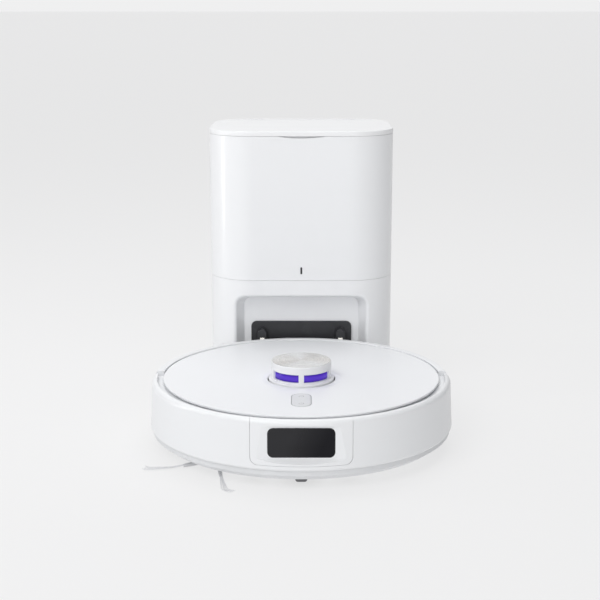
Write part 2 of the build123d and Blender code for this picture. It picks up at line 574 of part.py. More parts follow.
def body_shell():
    deck_z0 = DECK_Z - DECK_T
    inner = REAR_R - WALL
    rear = turned(
        (inner, SKIRT_Z1 + SEAM), (REAR_R, SKIRT_Z1 + SEAM), (REAR_R, GUARD_Z - 2.2),
        (REAR_R - 1.6, GUARD_Z - 0.3), (REAR_R - 2.6, GUARD_Z), (GUARD_INNER_R + 0.8, GUARD_Z),
        (GUARD_INNER_R, GUARD_Z - 0.8), (GUARD_INNER_R, deck_z0), (inner, deck_z0))
    rear -= front_half(REACH, SHOULDER_Y)
    rear -= block(-REACH, REACH, -REACH, GUARD_END_Y, DECK_Z, REACH)
    deck = disc(DECK_LEDGE_R, deck_z0, DECK_Z)
    deck += disc(inner + 1, deck_z0, DECK_Z) - front_half(REACH, SHOULDER_Y)
    front_wall = ring(TUB_R, TUB_R - TUB_T, TUB_Z1 + SEAM, DECK_Z)
    front_wall &= front_half(REACH, SHOULDER_Y + WALL)
    shoulders = block(-REACH, REACH, SHOULDER_Y, SHOULDER_Y + WALL, SKIRT_Z1 + SEAM, DECK_Z)
    shoulders &= ring(REAR_R, TUB_R + SEAM, 0, DECK_Z)
    knees = block(-REACH, REACH, SHOULDER_Y, SHOULDER_Y + WALL, TUB_Z1 + SEAM, DECK_Z)
    knees &= ring(REAR_R, TUB_R - TUB_T, 0, DECK_Z)
    shell = rear + deck + front_wall + shoulders + knees
    shell -= block(-BIN_HALF - SLIP, BIN_HALF + SLIP, BIN_Y0 - SLIP, BIN_Y1 + SLIP, deck_z0 - 1, DECK_Z + 1)
    shell -= block(-BIN_HALF - BIN_FLANGE - SLIP, BIN_HALF + BIN_FLANGE + SLIP, BIN_Y0 - BIN_FLANGE - SLIP,
                   BIN_Y1 + BIN_FLANGE + SLIP, DECK_Z - LEDGE_DEPTH, DECK_Z + 1)
    shell -= disc(TRAY_R + 3, deck_z0 - 1, DECK_Z + 1, 0, TURRET_Y)
    shell -= Pos(PULLEY_X, TURRET_Y + PULLEY_Y, 0) * disc(PULLEY_R + 4, deck_z0 - 1, DECK_Z + 1)
    shell -= pill(SLIP, deck_z0 - 1, DECK_Z + 1)
    shell -= block(-PANEL_HALF - 10, PANEL_HALF + 10, -REACH, -(TUB_R - 1.0), deck_z0 - 1, DECK_Z + 1) \
        - disc(TUB_R, 0, REACH)
    half = CAMERA_W / 2 + 6
    middle = (WINDOW_Z0 + WINDOW_Z1) / 2
    bay_y = CAMERA_Y + CAMERA_D + 0.1
    bay_z0, bay_z1 = middle - CAMERA_H / 2 - 2.5, middle + CAMERA_H / 2 + 2.5
    bay = block(-half - 2, half + 2, -TUB_R + 2, bay_y + 2, bay_z0 - 2, bay_z1 + 2)
    shell += bay & disc(TUB_R, 0, REACH)
    shell -= block(-half, half, -REACH, bay_y, bay_z0, bay_z1)
    shell -= disc(CASTER_SWEEP + 2 + SEAM, 0, CASTER_ROOF_Z + 2.5 + SEAM, 0, CASTER_Y)
    shell -= disc(CASTER_STEM_R + 4 + SEAM, 0, CASTER_BOSS_Z + 2, 0, CASTER_Y)
    port = block(-PORT_HALF - PORT_T, PORT_HALF + PORT_T, BIN_Y1 + BIN_FLANGE, REAR_R,
                 PORT_Z0 - PORT_T, PORT_Z1 + PORT_T)
    shell += port & disc(REAR_R - 1, 0, REACH)
    shell -= block(-PORT_HALF, PORT_HALF, BIN_Y1, REACH, PORT_Z0, PORT_Z1)
    shell -= rod_x(FLAP_PIN_R + RUNNING, -PORT_HALF - 1.2, PORT_HALF + 1.2, FLAP_Y, FLAP_Z)
    for side in (-1, 1):
        shell -= strip_block(side, 0.1)
        for i in range(8):
            slot = block(REAR_R - 6, REAR_R + 2, -1.1, 1.1, 34, 62)
            shell -= Rot(0, 0, 90 + side * (38 + 2.6 * i)) * slot
    return shell


def strip_block(side, grow=0.0):
    """A charging strip let into the rear wall, level with a contact of the dock."""
    angle = math.degrees(math.asin(POST_X / REAR_R))
    plate = Box(STRIP_W + 2 * grow, STRIP_T + 2 * grow, STRIP_H + 2 * grow)
    return Rot(0, 0, -side * angle) * Pos(0, REAR_R - STRIP_T / 2 - 0.05, STRIP_Z) * plate


def charge_strips():
    return Compound(children=[strip_block(side) for side in (-1, 1)])


def pill(grow, z0, z1):
    length = PILL_REAR_Y - PILL_FRONT_Y
    width = PILL_W + 2 * grow
    return pad(width, length + 2 * grow, width / 2 - 0.01, z0, z1, 0, (PILL_REAR_Y + PILL_FRONT_Y) / 2)


def top_cover():
    cover = turned((0, COVER_UNDER), (COVER_R - 0.4, COVER_UNDER), (COVER_R, COVER_UNDER + 0.6),
                   (COVER_R, COVER_Z - COVER_EDGE), quarter(COVER_R - COVER_EDGE, COVER_Z - COVER_EDGE,
                                                            COVER_EDGE),
                   (COVER_R - COVER_EDGE, COVER_Z), (0, COVER_Z))
    cover += ring(COVER_RIM_R, COVER_RIM_R - COVER_RIM_T, DECK_Z + SEAM, COVER_UNDER + 0.2)
    cover += ring(COLLAR_R + SWING + 3, COLLAR_R + SWING, COVER_UNDER - 0.8, COVER_UNDER + 0.2,
                  0, TURRET_Y)
    dish = turned((0, COVER_Z - DISH_DEPTH), (COLLAR_R, COVER_Z - DISH_DEPTH), (DISH_R, COVER_Z + 0.2),
                  (0, COVER_Z + 0.2))
    cover -= Pos(0, TURRET_Y - DISH_SHIFT, 0) * dish
    cover -= disc(COLLAR_R + SWING, COVER_UNDER - 5, COVER_Z + 1, 0, TURRET_Y)
    return cover - pill(SLIP, COVER_UNDER - 5, COVER_Z + 1)


# ---- robot: buttons ---------------------------------------------------------------------
def button(front):
    """One half of the pill, with a flange under the cover and a stem."""
    middle = (PILL_FRONT_Y + PILL_REAR_Y) / 2
    y0, y1 = (-REACH, middle - BUTTON_GAP / 2) if front else (middle + BUTTON_GAP / 2, REACH)
    half = block(-REACH, REACH, y0, y1, 0, REACH)
    top = COVER_Z + BUTTON_PROUD
    face = fillet(pill(0, top - BUTTON_DEPTH, top).edges().group_by(Axis.Z)[-1], 0.4) & half
    flange_z = DECK_Z - DECK_T - FLANGE_T - 0.3
    flange = pill(FLANGE_OUT, flange_z, flange_z + FLANGE_T) & half
    neck = pill(-1.5, flange_z, top - 2) & half
    stem_y = middle + (PILL_REAR_Y - PILL_FRONT_Y) / 4 * (-1 if front else 1)
    return face + flange + neck + disc(2.2, flange_z - 8, flange_z + 0.5, 0, stem_y)


def power_button():
    return button(True)


def home_button():
    return button(False)


# ---- robot: turret ----------------------------------------------------------------------
def lidar_turret():
    inner = TURRET_R - TURRET_WALL
    seat_z = TURRET_TOP - CAP_T
    cage = turned(
        (inner, TURRET_FOOT_Z), (COLLAR_R - 1, TURRET_FOOT_Z), (COLLAR_R, COLLAR_Z0 + 0.5),
        (COLLAR_R, COLLAR_Z1 - 0.6), (COLLAR_R - 0.6, COLLAR_Z1), (TURRET_R + 0.3, COLLAR_Z1 + 0.4),
        (TURRET_R, COLLAR_Z1 + 0.9), (TURRET_R, TURRET_TOP - 0.9), (TURRET_R - 0.6, TURRET_TOP - 0.1),
        (CAP_R + 0.1, TURRET_TOP - 0.1), (CAP_R + 0.1, seat_z), (0, seat_z), (0, seat_z - 2.0),
        (inner, seat_z - 2.0))
    for i in range(PILLARS):
        step = 360 / PILLARS
        sector = window_sector(PILLAR_HALF_DEG, step - PILLAR_HALF_DEG, inner - 4, TURRET_R + 4)
        cage -= Rot(0, 0, -90 + i * step) * sector
    return Pos(0, TURRET_Y, 0) * cage


def window_sector(a0, a1, r0, r1):
    """A slice of a ring between two angles, as high as the turret's windows."""
    p = [polar(r0, a0), polar(r1 * 1.3, a0), polar(r1 * 1.6, (a0 + a1) / 2), polar(r1 * 1.3, a1),
         polar(r0, a1), polar(r0 * 0.9, (a0 + a1) / 2)]
    face = make_face(Polyline(*[(x, y) for x, y in p], close=True))
    return Pos(0, 0, TURRET_SILL_Z) * extrude(face, TURRET_BAND_Z - TURRET_SILL_Z)


def lidar_cap():
    cap = disc(CAP_R, TURRET_TOP - CAP_T + 0.02, TURRET_TOP, 0, TURRET_Y)
    return chamfer(cap.edges().group_by(Axis.Z)[-1], 0.3)


def lidar_head():
    head = turned((0, SCANNER_WAIST_Z0), (SCANNER_WAIST_R, SCANNER_WAIST_Z0),
                  (SCANNER_WAIST_R, BELT_Z - 0.5), (SCANNER_WAIST_R - 1, BELT_Z),
                  (SCANNER_WAIST_R - 1, BELT_Z + BELT_H), (SCANNER_WAIST_R, BELT_Z + BELT_H + 0.5),
                  (SCANNER_WAIST_R, SCANNER_Z0), (SCANNER_R, SCANNER_Z0), (SCANNER_R, SCANNER_Z1 - 1.5),
                  (SCANNER_R - 1.5, SCANNER_Z1), (0, SCANNER_Z1))
    for x in (-11.0, 11.0):
        head -= rod_y(5.5, -SCANNER_R - 2, -SCANNER_R + 6, x, TURRET_SILL_Z + 5)
    head -= disc(SPINDLE_R + RUNNING, SCANNER_WAIST_Z0 - 1, SCANNER_Z0 + 10)
    return Pos(0, TURRET_Y, 0) * head


def lidar_base():
    tray = disc(TRAY_R, TRAY_Z, TRAY_Z + TRAY_T)
    tray += disc(SCANNER_MOTOR_R + 3, TRAY_Z, TRAY_Z + TRAY_T, PULLEY_X, PULLEY_Y)
    tray += ring(COLLAR_R - 0.5, COLLAR_R - 3.5, TRAY_Z, TURRET_FOOT_Z - 0.05)
    belt_gap = block(0, PULLEY_X + 20, -12, 26, TRAY_Z + TRAY_T, TURRET_FOOT_Z + 1)
    tray -= belt_gap & (disc(100, 0, 100) - disc(COLLAR_R - 8, 0, 100))
    tray += disc(SPINDLE_R + 4, TRAY_Z, SCANNER_WAIST_Z0 - 0.6)
    tray += disc(SPINDLE_R, TRAY_Z, SCANNER_Z0 + 8)
    tray -= disc(2.2, TRAY_Z - 1, TRAY_Z + TRAY_T + 1, PULLEY_X, PULLEY_Y)
    return Pos(0, TURRET_Y, 0) * tray


def lidar_motor():
    can = disc(SCANNER_MOTOR_R, TRAY_Z - SCANNER_MOTOR_H, TRAY_Z - 0.05)
    shaft = disc(1.0, TRAY_Z - 1, BELT_Z + BELT_H + 1.5)
    return Pos(PULLEY_X, TURRET_Y + PULLEY_Y, 0) * (can + shaft)


def lidar_pulley():
    wheel = turned((1.0 + RUNNING, BELT_Z - 1), (PULLEY_R + 0.8, BELT_Z - 1), (PULLEY_R + 0.8, BELT_Z - 0.3),
                   (PULLEY_R, BELT_Z), (PULLEY_R, BELT_Z + BELT_H), (PULLEY_R + 0.8, BELT_Z + BELT_H + 0.3),
                   (PULLEY_R + 0.8, BELT_Z + BELT_H + 1), (1.0 + RUNNING, BELT_Z + BELT_H + 1))
    return Pos(PULLEY_X, TURRET_Y + PULLEY_Y, 0) * wheel


def belt_loop(grow):
    """The outline of a band round the scanner's waist and the pulley."""
    big = Circle(SCANNER_WAIST_R - 1 + grow)
    small = Pos(PULLEY_X, PULLEY_Y) * Circle(PULLEY_R + grow)
    return make_hull((big + small).edges())


def lidar_belt():
    gap = 0.06
    band = belt_loop(gap + BELT_T) - belt_loop(gap)
    return Pos(0, TURRET_Y, BELT_Z + 0.2) * extrude(band, BELT_H - 0.4)


# ---- robot: drive wheels ----------------------------------------------------------------
def wheel_arm(side):
    x0, x1 = ARM_X0, ARM_X1
    cheek_w = x1 - x0 - 4
    arm = rod_x(ARM_R, x0, x1, 0, WHEEL_R)
    arm += block(x0, x0 + cheek_w, 0, ARM_PIVOT_Y, WHEEL_R - 12, WHEEL_R + 9)
    arm += rod_x(9.0, x0, x0 + cheek_w, ARM_PIVOT_Y, ARM_PIVOT_Z)
    arm += rod_y(MOTOR_R, MOTOR_Y0, MOTOR_Y1, (x0 + x1) / 2 - 1, WHEEL_R + MOTOR_RISE)
    arm += rod_x(TRUNNION_R, ARM_X0 - 2 - LUG_T, ARM_X1 + 1.5 + LUG_T, ARM_PIVOT_Y, ARM_PIVOT_Z)
    arm -= rod_x(AXLE_R + RUNNING, x0 + 4, x1 + 1, 0, WHEEL_R)
    return arm if side > 0 else mirror(arm, Plane.YZ)


def wheel_hub(side):
    rim_r = WHEEL_R - TYRE_T
    x0, x1 = WHEEL_X0, WHEEL_X0 + TYRE_W
    hub = rod_x(rim_r, x0 + 1, x1 - 1, 0, WHEEL_R) - rod_x(rim_r - 3, x0, x1, 0, WHEEL_R)
    web_x = x1 - 5 - HUB_WEB_T
    web = rod_x(rim_r - 2, web_x, web_x + HUB_WEB_T, 0, WHEEL_R)
    for i in range(SPOKES):
        hole = rod_x(5.5, web_x - 1, web_x + HUB_WEB_T + 1, 0, WHEEL_R + 16)
        web -= Pos(0, 0, WHEEL_R) * Rot(360 * i / SPOKES, 0, 0) * Pos(0, 0, -WHEEL_R) * hole
    hub += web
    hub += rod_x(8, x0, web_x + 1, 0, WHEEL_R)
    hub += rod_x(AXLE_R, ARM_X0 + 5, web_x + 1, 0, WHEEL_R)
    hub += rod_x(5, web_x, x1 - 2, 0, WHEEL_R)
    return hub if side > 0 else mirror(hub, Plane.YZ)


def tyre(side):
    rim_r = WHEEL_R - TYRE_T
    x0, x1 = WHEEL_X0, WHEEL_X0 + TYRE_W
    band = rod_x(WHEEL_R, x0, x1, 0, WHEEL_R) - rod_x(rim_r, x0 - 1, x1 + 1, 0, WHEEL_R)
    cuts = []
    for i in range(TREADS):
        groove = block(x0 + 2, x1 + 1, -TREAD_W / 2, TREAD_W / 2, 2 * WHEEL_R - TREAD_DEPTH, 2 * WHEEL_R + 1)
        turn = 360 * (i + 0.5) / TREADS
        cuts.append(Pos(0, 0, WHEEL_R) * Rot(turn, 0, 0) * Pos(0, 0, -WHEEL_R) * groove)
    band -= cuts
    return band if side > 0 else mirror(band, Plane.YZ)


def wheel_springs():
    """A torsion coil round each arm's pivot pin, between the arm and its outer lug."""
    x0, x1 = ARM_X1 - 3.6, ARM_X1 + 1.1
    coil = Rot(0, 90, 0) * spring(SPRING_R, SPRING_WIRE, SPRING_TURNS, 0, x1 - x0, 0, 0)
    places = (x0, -x1)
    return Compound(children=[Pos(x, ARM_PIVOT_Y, ARM_PIVOT_Z) * coil for x in places])


# ---- robot: caster ----------------------------------------------------------------------
def caster_fork():
    half = CASTER_W / 2 + 0.5
    top = disc(CASTER_SWEEP - SWING, CASTER_TOP_Z - 3.5, CASTER_TOP_Z)
    stem = disc(CASTER_STEM_R, CASTER_TOP_Z - 1, CASTER_BOSS_Z + 1)
    fork = top + stem
    wheel_y = -CASTER_TRAIL
    for side in (-1, 1):
        cheek = block(side * half, side * (half + CASTER_CHEEK), wheel_y - 7, wheel_y + 9,
                      CASTER_R - 5, CASTER_TOP_Z - 3)
        fork += cheek & disc(CASTER_SWEEP - SWING, 0, REACH)
    fork -= rod_x(CASTER_AXLE_R + 0.02, -half - CASTER_CHEEK - 1, half + CASTER_CHEEK + 1, wheel_y, CASTER_R)
    return Pos(0, CASTER_Y, 0) * fork


def caster_axle():
    reach = CASTER_W / 2 + 0.5 + CASTER_CHEEK
    return rod_x(CASTER_AXLE_R, -reach, reach, CASTER_Y - CASTER_TRAIL, CASTER_R)


def caster_wheel():
    y = CASTER_Y - CASTER_TRAIL
    wheel = rod_x(CASTER_R, -CASTER_W / 2, CASTER_W / 2, y, CASTER_R)
    wheel = fillet(wheel.edges().filter_by(GeomType.CIRCLE), 3.0)
    return wheel - rod_x(CASTER_AXLE_R + RUNNING, -CASTER_W, CASTER_W, y, CASTER_R)


# ---- robot: brushes ---------------------------------------------------------------------
def main_brush():
    brush = rod_x(BRUSH_CORE_R, -BRUSH_HALF, BRUSH_HALF, BRUSH_Y, BRUSH_Z)
    for i in range(BRUSH_FINS):
        fin = block(-BRUSH_HALF + 1, BRUSH_HALF - 1, -BRUSH_FIN_T / 2, BRUSH_FIN_T / 2, BRUSH_CORE_R - 1, BRUSH_R)
        brush += Pos(0, BRUSH_Y, BRUSH_Z) * Rot(360 * (i + 0.5) / BRUSH_FINS, 0, 0) * fin
    left = -(WELL_HALF + WELL_T + JOURNAL_L - 0.6)
    right = WELL_HALF + WELL_T - 0.4
    return brush + rod_x(JOURNAL_R, left, right, BRUSH_Y, BRUSH_Z)


def brush_guard():
    frame_w = GUARD_FRAME_W
    half, depth = WELL_HALF + frame_w, WELL_R + frame_w - 2
    z1 = GROUND - 0.05
    frame = pad(2 * half, 2 * depth, 5, z1 - GUARD_T, z1, 0, BRUSH_Y)
    frame -= pad(2 * (BRUSH_HALF + 2), 2 * (WELL_R - 1.6), 3, z1 - GUARD_T - 1, z1 + 1, 0, BRUSH_Y)
    for side in (-1, 1):
        x = side * (WELL_HALF + frame_w / 2)
        frame -= block(x - 1.2, x + 1.2, BRUSH_Y - 5, BRUSH_Y + 5, z1 - 1.2, z1 + 1)
    return frame


def brush_gearbox():
    """Stands outside the well's left end, between it and the drive wheel."""
    x1 = -(WELL_HALF + WELL_T + 0.1)
    box = block(x1 - GEARBOX_T, x1, BRUSH_Y - 24, BRUSH_Y + 16, GROUND + FLOOR_T + 0.1, BRUSH_Z + 22)
    box -= rod_x(JOURNAL_R + RUNNING, x1 - JOURNAL_L, x1 + 1, BRUSH_Y, BRUSH_Z)
    return box + rod_y(GEARBOX_MOTOR_R, BRUSH_Y - 52, BRUSH_Y - 18.5, x1 - GEARBOX_MOTOR_R - 0.1,
                       BRUSH_Z + 12)


def side_brush_hub():
    hub = disc(SIDE_HUB_R, SIDE_HUB_Z0, SIDE_HUB_Z1) + disc(SIDE_SHAFT_R, SIDE_HUB_Z1 - 1, GROUND + 12)
    for i in range(SIDE_ARMS):
        socket = rod_x(SLEEVE_R + SOCKET_T, 0, SIDE_HUB_R + SOCKET_L, 0, (SIDE_HUB_Z0 + SIDE_HUB_Z1) / 2)
        socket -= rod_x(SLEEVE_R + 0.02, SIDE_HUB_R - 2, SIDE_HUB_R + 5, 0, (SIDE_HUB_Z0 + SIDE_HUB_Z1) / 2)
        hub -= Rot(0, 0, SIDE_FIRST_DEG + 360 * i / SIDE_ARMS) * \
            rod_x(SLEEVE_R + 0.02, SIDE_HUB_R - 2, SIDE_HUB_R + 5, 0, (SIDE_HUB_Z0 + SIDE_HUB_Z1) / 2)
        hub += Rot(0, 0, SIDE_FIRST_DEG + 360 * i / SIDE_ARMS) * socket
    return Pos(SIDE_X, SIDE_Y, 0) * hub


def side_brush_bristles():
    """Four soft sleeves that carry a tuft each; the tuft bends to lie along the floor."""
    arms = []
    z = (SIDE_HUB_Z0 + SIDE_HUB_Z1) / 2
    start = SIDE_HUB_R - 1.9
    bend = start + SLEEVE_L
    for i in range(SIDE_ARMS):
        line = Line((start, 0, z), (bend, 0, z - SLEEVE_DROP))
        sleeve = sweep(Plane(line @ 0, z_dir=line % 0) * Circle(SLEEVE_R), line)
        sleeve &= block(SIDE_HUB_R + SOCKET_L + SEAM, REACH, -9, 9, -9, 20)
        sleeve += rod_x(SLEEVE_R, start, SIDE_HUB_R + SOCKET_L + 2 * SEAM, 0, z)
        root = line @ (1 - TUFT_OVERLAP / SLEEVE_L)
        lie = Vector(TUFT_LIE_X, 0, TUFT_LIE_Z)
        arm = sleeve + Solid.make_cylinder(TUFT_R, (lie - root).length, Plane(root, z_dir=lie - root))
        arm += Pos(lie) * Sphere(TUFT_R)
        arm += Solid.make_cone(TUFT_R, TUFT_TIP_R, SIDE_ARM_L - TUFT_LIE_X, Plane(lie, z_dir=(1, 0, 0)))
        arms.append(Pos(SIDE_X, SIDE_Y, 0) * Rot(0, 0, SIDE_FIRST_DEG + 360 * i / SIDE_ARMS) * arm)
    return Compound(children=arms)


def side_brush_motor():
    z0 = GROUND + FLOOR_T + 0.1
    body = disc(SIDE_MOTOR_R, z0, z0 + SIDE_MOTOR_H, SIDE_X, SIDE_Y)
    body += disc(8.5, z0 + SIDE_MOTOR_H - 1, z0 + SIDE_MOTOR_H + 14, SIDE_X, SIDE_Y)
    return body - disc(SIDE_SHAFT_R + RUNNING, 0, GROUND + 14, SIDE_X, SIDE_Y)


# ---- robot: dust path -------------------------------------------------------------------
def dustbin():
    t = BIN_T
    shell = block(-BIN_HALF, BIN_HALF, BIN_Y0, BIN_Y1, BIN_Z0, BIN_Z1)
    shell = fillet(shell.edges().filter_by(Axis.Z), 6)
    flange = block(-BIN_HALF - BIN_FLANGE, BIN_HALF + BIN_FLANGE, BIN_Y0 - BIN_FLANGE,
                   BIN_Y1 + BIN_FLANGE, BIN_Z1 - FLANGE_H, BIN_Z1)
    inside = block(-BIN_HALF + t, BIN_HALF - t, BIN_Y0 + t, BIN_Y1 - t, BIN_Z0 + t, BIN_Z1 - t)
    bin_ = shell + flange - inside
    middle = (BIN_Y0 + BIN_Y1) / 2
    grip = pad(BIN_GRIP_W + 2 * t, BIN_GRIP_D + 2 * t, 8, BIN_Z1 - BIN_GRIP_H - t, BIN_Z1, 0, middle)
    bin_ += grip
    bin_ -= pad(BIN_GRIP_W, BIN_GRIP_D, 6, BIN_Z1 - BIN_GRIP_H, BIN_Z1 + 1, 0, middle)
    bin_ += block(-BIN_GRIP_W / 2 - 1, BIN_GRIP_W / 2 + 1, middle - 3, middle + 3, BIN_Z1 - 3, BIN_Z1)
    bin_ -= block(-CHANNEL_HALF, CHANNEL_HALF, BIN_Y0 - 1, BIN_Y0 + t + 1, CHANNEL_Z0, CHANNEL_Z1)
    bin_ -= block(-PORT_HALF, PORT_HALF, BIN_Y1 - t - 1, BIN_Y1 + 1, PORT_Z0, PORT_Z1)
    half_w, half_h = FILTER_W / 2 + SLIP, FILTER_H / 2 + SLIP
    return bin_ - block(FILTER_X - half_w, min(FILTER_X + half_w, BIN_HALF - t), BIN_Y0 - 1,
                        BIN_Y0 + t + 1, FILTER_Z - half_h, FILTER_Z + half_h)


def dust_filter():
    """A pleated pad in a frame, just inside the bin's front wall."""
    y0 = BIN_Y0 + BIN_T + 0.1
    x1 = min(FILTER_X + FILTER_W / 2, BIN_HALF - BIN_T - 0.5)
    x0 = x1 - FILTER_W - 5
    z0, z1 = FILTER_Z - FILTER_H / 2 - 3, FILTER_Z + FILTER_H / 2 + 3
    frame = block(x0, x1, y0, y0 + FILTER_T, z0, z1)
    frame -= block(x0 + 3, x1 - 3, y0 - 1, y0 + FILTER_T + 1, z0 + 3, z1 - 3)
    core = block(x0 + 2.9, x1 - 2.9, y0 + 2.5, y0 + FILTER_T - 2.5, z0 + 2.9, z1 - 2.9)
    pleats = core
    pitch = (x1 - x0 - 6) / PLEATS
    for i in range(PLEATS):
        x = x0 + 3 + pitch * (i + 0.5)
        pleats += block(x - 0.7, x + 0.7, y0 + 0.6, y0 + FILTER_T - 0.6, z0 + 2.9, z1 - 2.9)
    return frame + pleats


def outlet_flap():
    plate = block(-PORT_HALF + SWING, PORT_HALF - SWING, FLAP_Y - FLAP_T / 2, FLAP_Y + FLAP_T / 2,
                  PORT_Z0 + SWING, FLAP_Z)
    return plate + rod_x(FLAP_PIN_R, -PORT_HALF - 1.0, PORT_HALF + 1.0, FLAP_Y, FLAP_Z)


def suction_fan():
    body = disc(FAN_R, FAN_Z0, FAN_Z1, FAN_X, FAN_Y)
    body -= disc(FAN_R - FAN_T, FAN_FLOOR_Z, FAN_Z1 - FAN_T, FAN_X, FAN_Y)
    body -= disc(FAN_EYE_R, FAN_Z1 - FAN_T - 1, FAN_Z1 + 1, FAN_X, FAN_Y)
    body -= block(FAN_X - 30, FAN_X - 8, FAN_Y - 24, FAN_Y - 12, FAN_FLOOR_Z + 2, FAN_Z1 - FAN_T - 2)
    return body + disc(1.5, FAN_FLOOR_Z - 1, FAN_FLOOR_Z + 13, FAN_X, FAN_Y)


def suction_impeller():
    return impeller(IMPELLER_R, IMPELLER_HUB_R, FAN_FLOOR_Z + 2, IMPELLER_H, FAN_X, FAN_Y)


# ---- robot: electrics -------------------------------------------------------------------
def battery_pack():
    z0 = GROUND + FLOOR_T + 0.2
    half_w, half_d = BATTERY_W / 2, BATTERY_D / 2
    pack = block(BATTERY_X - half_w, BATTERY_X + half_w, BATTERY_Y - half_d, BATTERY_Y + half_d,
                 z0, z0 + BATTERY_H)
    return fillet(pack.edges().filter_by(Axis.X), 6)


def main_board():
    half_w, half_d = BOARD_W / 2, BOARD_D / 2
    board = block(BATTERY_X - half_w, BATTERY_X + half_w, BATTERY_Y - half_d + 4, BATTERY_Y + half_d - 8,
                  BOARD_Z, BOARD_Z + BOARD_T)
    parts = ((-40, -12, 14, 14, 2.2), (-14, 8, 22, 16, 2.5), (18, -10, 12, 20, 4), (40, 4, 16, 8, 6))
    for x, y, w, d, h in parts:
        board += block(BATTERY_X + x - w / 2, BATTERY_X + x + w / 2, BATTERY_Y + y - d / 2,
                       BATTERY_Y + y + d / 2, BOARD_Z + BOARD_T - 0.2, BOARD_Z + BOARD_T + h)
    for x, y in ((-1, -1), (1, -1), (-1, 1), (1, 1)):
        px, py = BATTERY_X + x * (half_w - 4), BATTERY_Y - 2 + y * (half_d - 10)
        board += disc(2.2, GROUND + FLOOR_T + 0.4 + BATTERY_H, BOARD_Z + 0.2, px, py)
    return board


def cliff_sensors():
    return Compound(children=[cliff_block(angle) for angle in CLIFF_ANGLES])


def chassis_screws():
    screws = []
    for x, y in screw_places():
        z0 = GROUND + 0.2
        head = disc(SCREW_HEAD_R, z0 - SCREW_HEAD_T * 0.4, z0 + SCREW_HEAD_T * 0.4, x, y)
        head -= block(x - 1.8, x + 1.8, y - 0.4, y + 0.4, 0, z0 - 0.1) \
            + block(x - 0.4, x + 0.4, y - 1.8, y + 1.8, 0, z0 - 0.1)
        screws.append(head + disc(SCREW_R, z0, z0 + SCREW_L, x, y))
    return Compound(children=screws)


# ---- dock -------------------------------------------------------------------------------
def column(inset, z0, z1):
    return pad(COLUMN_W - 2 * inset, COLUMN_D - 2 * inset, COLUMN_CORNER - inset, z0, z1)


def dock_base():
    base = column(0, BASE_Z0, BASE_Z1)
    tongue_y0 = COLUMN_FRONT - TONGUE_L
    tongue = pad(2 * TONGUE_HALF, TONGUE_L + 60, TONGUE_CORNER, BASE_Z0, BASE_Z0 + TONGUE_T, 0,
                 tongue_y0 + (TONGUE_L + 60) / 2)
    base += tongue
    lowered = block(-RECESS_BACK_HALF, RECESS_BACK_HALF, COLUMN_FRONT - 1, RECESS_BACK_Y + 3,
                    BASE_Z0 + TONGUE_T, BASE_Z1 + 1)
    base -= lowered
    base -= column(SHELL_T + 3, BASE_Z1 - 2, BASE_Z1 + 1) - block(-REACH, REACH, -REACH, RECESS_BACK_Y + 9,
                                                                0, REACH)
    for x, y in dock_screw_places():
        base -= disc(SCREW_R + RUNNING, 0, BASE_Z1 + 1, x, y)
        base -= disc(SCREW_HEAD_R + 0.2, BASE_Z0 - 1, BASE_Z0 + SCREW_HEAD_T + 0.3, x, y)
    return base


def dock_screw_places():
    x, y = COLUMN_W / 2 - 20, COLUMN_D / 2 - 50
    return ((-x, -y), (x, -y), (-x, y), (x, y))


def recess(grow):
    """The flared alcove that the robot's tail backs into, drawn on a little past its mouth."""
    lead = 6.0 / RECESS_D
    sections = []
    for step, y in ((-lead, COLUMN_FRONT - 6.0), (1, RECESS_BACK_Y + grow)):
        half = RECESS_HALF + step * (RECESS_BACK_HALF - RECESS_HALF) + grow
        top = RECESS_Z + step * (RECESS_BACK_Z - RECESS_Z) + grow
        corner = RECESS_CORNER + step * (RECESS_BACK_CORNER - RECESS_CORNER) + grow
        height = top + 60
        face = Pos(0, y, top - height / 2) * Rot(90, 0, 0) * RectangleRounded(2 * half, height, corner)
        sections.append(face)
    return loft(sections)


def dock_lower_shell():
    top = SPLIT_Z - SEAM
    outer = column(0, BASE_Z1 + 0.05, top)
    shell = outer - column(SHELL_T, 0, top + 1)
    shell += outer & recess(SHELL_T)
    shell -= recess(0)
    shell = soften_alcove(shell)
    shell -= block(-PLATE_W / 2 + 8, PLATE_W / 2 - 8, RECESS_BACK_Y - 1, RECESS_BACK_Y + SHELL_T + 1, 20, 92)
    for i in range(VENT_N):
        x = (i - (VENT_N - 1) / 2) * VENT_PITCH + 30
        shell -= upright(VENT_W, 70, 70 + VENT_H, VENT_W / 2 - 0.01, COLUMN_D / 2 - SHELL_T - 1,
                         COLUMN_D / 2 + 1, x)
    shell -= block(INLET_X - INLET_W / 2 - 0.1, INLET_X + INLET_W / 2 + 0.1, COLUMN_D / 2 - SHELL_T - 1,
                   COLUMN_D / 2 + 1, INLET_Z - INLET_H / 2 - 0.1, INLET_Z + INLET_H / 2 + 0.1)
    return shell


def soften_alcove(shell):
    """Rounds the alcove's mouth, where the lower housing's face turns inwards."""
    mouth = [e for e in shell.edges()
             if abs(e.center().Y - COLUMN_FRONT) < 0.05 and e.center().Z < RECESS_Z + 1
             and abs(e.center().X) < RECESS_HALF + 1 and e.length > 2 and e.center().Z > BASE_Z1 + 1]
    return fillet(mouth, RECESS_EDGE)


